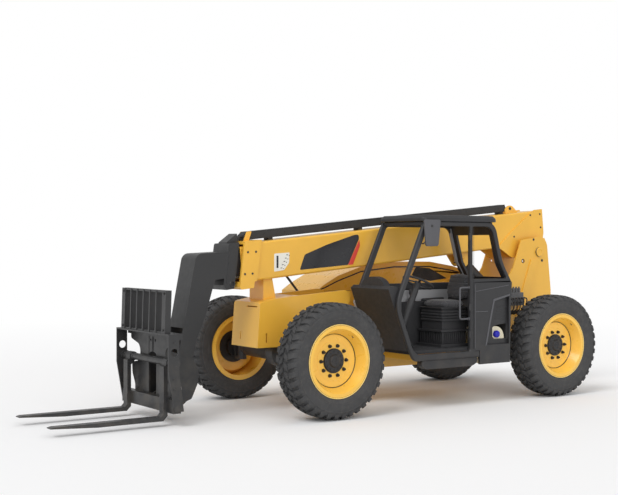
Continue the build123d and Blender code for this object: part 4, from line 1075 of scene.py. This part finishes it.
def hood_plate(name, points, x0, x1, material, bevel=0.0):
    """A plate of a side outline in stations and heights, riding on the hood."""
    bm = bmesh.new()
    add_plate(bm, yz(points), x0, x1)
    piece(name, bm, material, "hood", bevel=bevel)


HOOD_SKIN = (-0.3665, -0.3605)
top = [(0.775, 1.328), (0.90, 1.400), (1.10, 1.498), (1.46, 1.611), (2.0, 1.665), (2.60, 1.665), (3.0, 1.603),
       (3.20, 1.556)]
drop = (0.0, 0.030, 0.048, 0.048, 0.048, 0.050, 0.045, 0.040)
edge = [(s, z - d) for (s, z), d in zip(top, drop)]
slot_low = [(s, z - 0.018) for s, z in edge]
lower = [(0.79, 1.3225)] + slot_low[1:] + [(3.19, 1.52), (2.66, 1.3225)]
screen = rounded([(2.29, 1.50), (2.36, 1.602), (2.60, 1.585), (2.90, 1.447), (2.60, 1.415), (2.36, 1.47)], 0.02)
hood_plate("hood_band", top + edge[:0:-1], *HOOD_SKIN, "hood_panel", 0.002)
# A black plate in the gap under the band: painted shade.
hood_plate("hood_gap_shade", edge + slot_low[::-1], -0.372, -0.3665, "panel_black")
hood_plate("hood_lower", lower, *HOOD_SKIN, "hood_panel", 0.002)
hood_plate("hood_screen", screen, -0.3607, -0.3595, "grille")

# Step under the sill
bm = bmesh.new()
step = [(1.20, 0.562), (1.20, 0.500), (1.27, 0.462), (1.98, 0.462), (2.06, 0.500), (2.06, 0.562)]
add_plate(bm, rounded(yz(step), 0.025), 1.045, 1.128)
for k in range(15):
    s0 = 1.30 + 0.045 * k
    add_box(bm, (1.06, row(s0), 0.459), (1.115, row(s0) + 0.02, 0.464))
piece("side_step", bm, "cab_paint", bevel=0.006)


# Camera at the photograph's viewing angle

cam_data = bpy.data.cameras.new("camera")
cam_data.sensor_width = 36.0
cam_data.lens = 63.86
cam = show("camera", cam_data)
cam.location = (10.7155, -7.5288, 1.859)
cam.rotation_euler = Vector((-0.82503, 0.56508, 0.0)).to_track_quat("-Z", "Y").to_euler()
scene.camera = cam


# Studio: white surround, pale floor that keeps the shadow, one soft key and a fill

WHITE = (1.0, 1.0, 1.0, 1.0)
SURROUND = 0.62
FLOOR_LIT, FLOOR_SEEN = (0.8, 0.8, 0.8, 1.0), (0.97, 0.97, 0.975, 1.0)
FADE_FROM, FADE_TO = 5.0, 16.0

world = bpy.data.worlds.new("studio")
scene.world = world
world.use_nodes = True
tree = world.node_tree
link = tree.links.new
path = tree.nodes.new("ShaderNodeLightPath")
seen = tree.nodes.new("ShaderNodeMath")
seen.operation = "MAXIMUM"
link(path.outputs["Is Camera Ray"], seen.inputs[0])
link(path.outputs["Is Transmission Ray"], seen.inputs[1])
level = tree.nodes.new("ShaderNodeMapRange")
level.inputs["To Min"].default_value = SURROUND
level.inputs["To Max"].default_value = 1.0
link(seen.outputs[0], level.inputs["Value"])
background = tree.nodes["Background"]
background.inputs["Color"].default_value = WHITE
link(level.outputs[0], background.inputs["Strength"])

# The floor fades into the white surround at a distance
bm = bmesh.new()
bmesh.ops.create_grid(bm, x_segments=1, y_segments=1, size=60.0)
floor = show("floor", new_mesh("floor", bm))
floor.location = (0, 0, -0.001)
n = Nodes("floor")
ray = n.new("ShaderNodeLightPath").outputs["Is Camera Ray"]
n.put(n.bsdf.inputs["Base Color"], n.mix(ray, FLOOR_LIT, FLOOR_SEEN))
n.put(n.bsdf.inputs["Roughness"], 0.95)
n.put(n.bsdf.inputs["Specular IOR Level"], 0.1)
glow = n.new("ShaderNodeEmission", Color=WHITE)
reach = n.new("ShaderNodeVectorMath")
reach.operation = "LENGTH"
n.put(reach.inputs[0], n.coords)
blend = n.new("ShaderNodeMixShader")
for socket, value in zip(blend.inputs, (n.ramp(reach.outputs["Value"], FADE_FROM, FADE_TO), n.bsdf.outputs[0],
                                        glow.outputs[0])):
    n.put(socket, value)
n.put(n.tree.nodes["Material Output"].inputs["Surface"], blend.outputs[0])
floor.data.materials.append(n.mat)


def sun(name, direction, strength, angle):
    """A lamp that shines along the direction; a wide angle makes its shadows soft."""
    data = bpy.data.lights.new(name, "SUN")
    data.energy = strength
    data.angle = radians(angle)
    show(name, data).rotation_euler = Vector(direction).to_track_quat("-Z", "Y").to_euler()


sun("key", (-0.25, 0.75, -0.85), 1.1, 28)
sun("fill", (-0.9, 0.15, -0.35), 0.85, 50)

scene.view_settings.view_transform = "Standard"
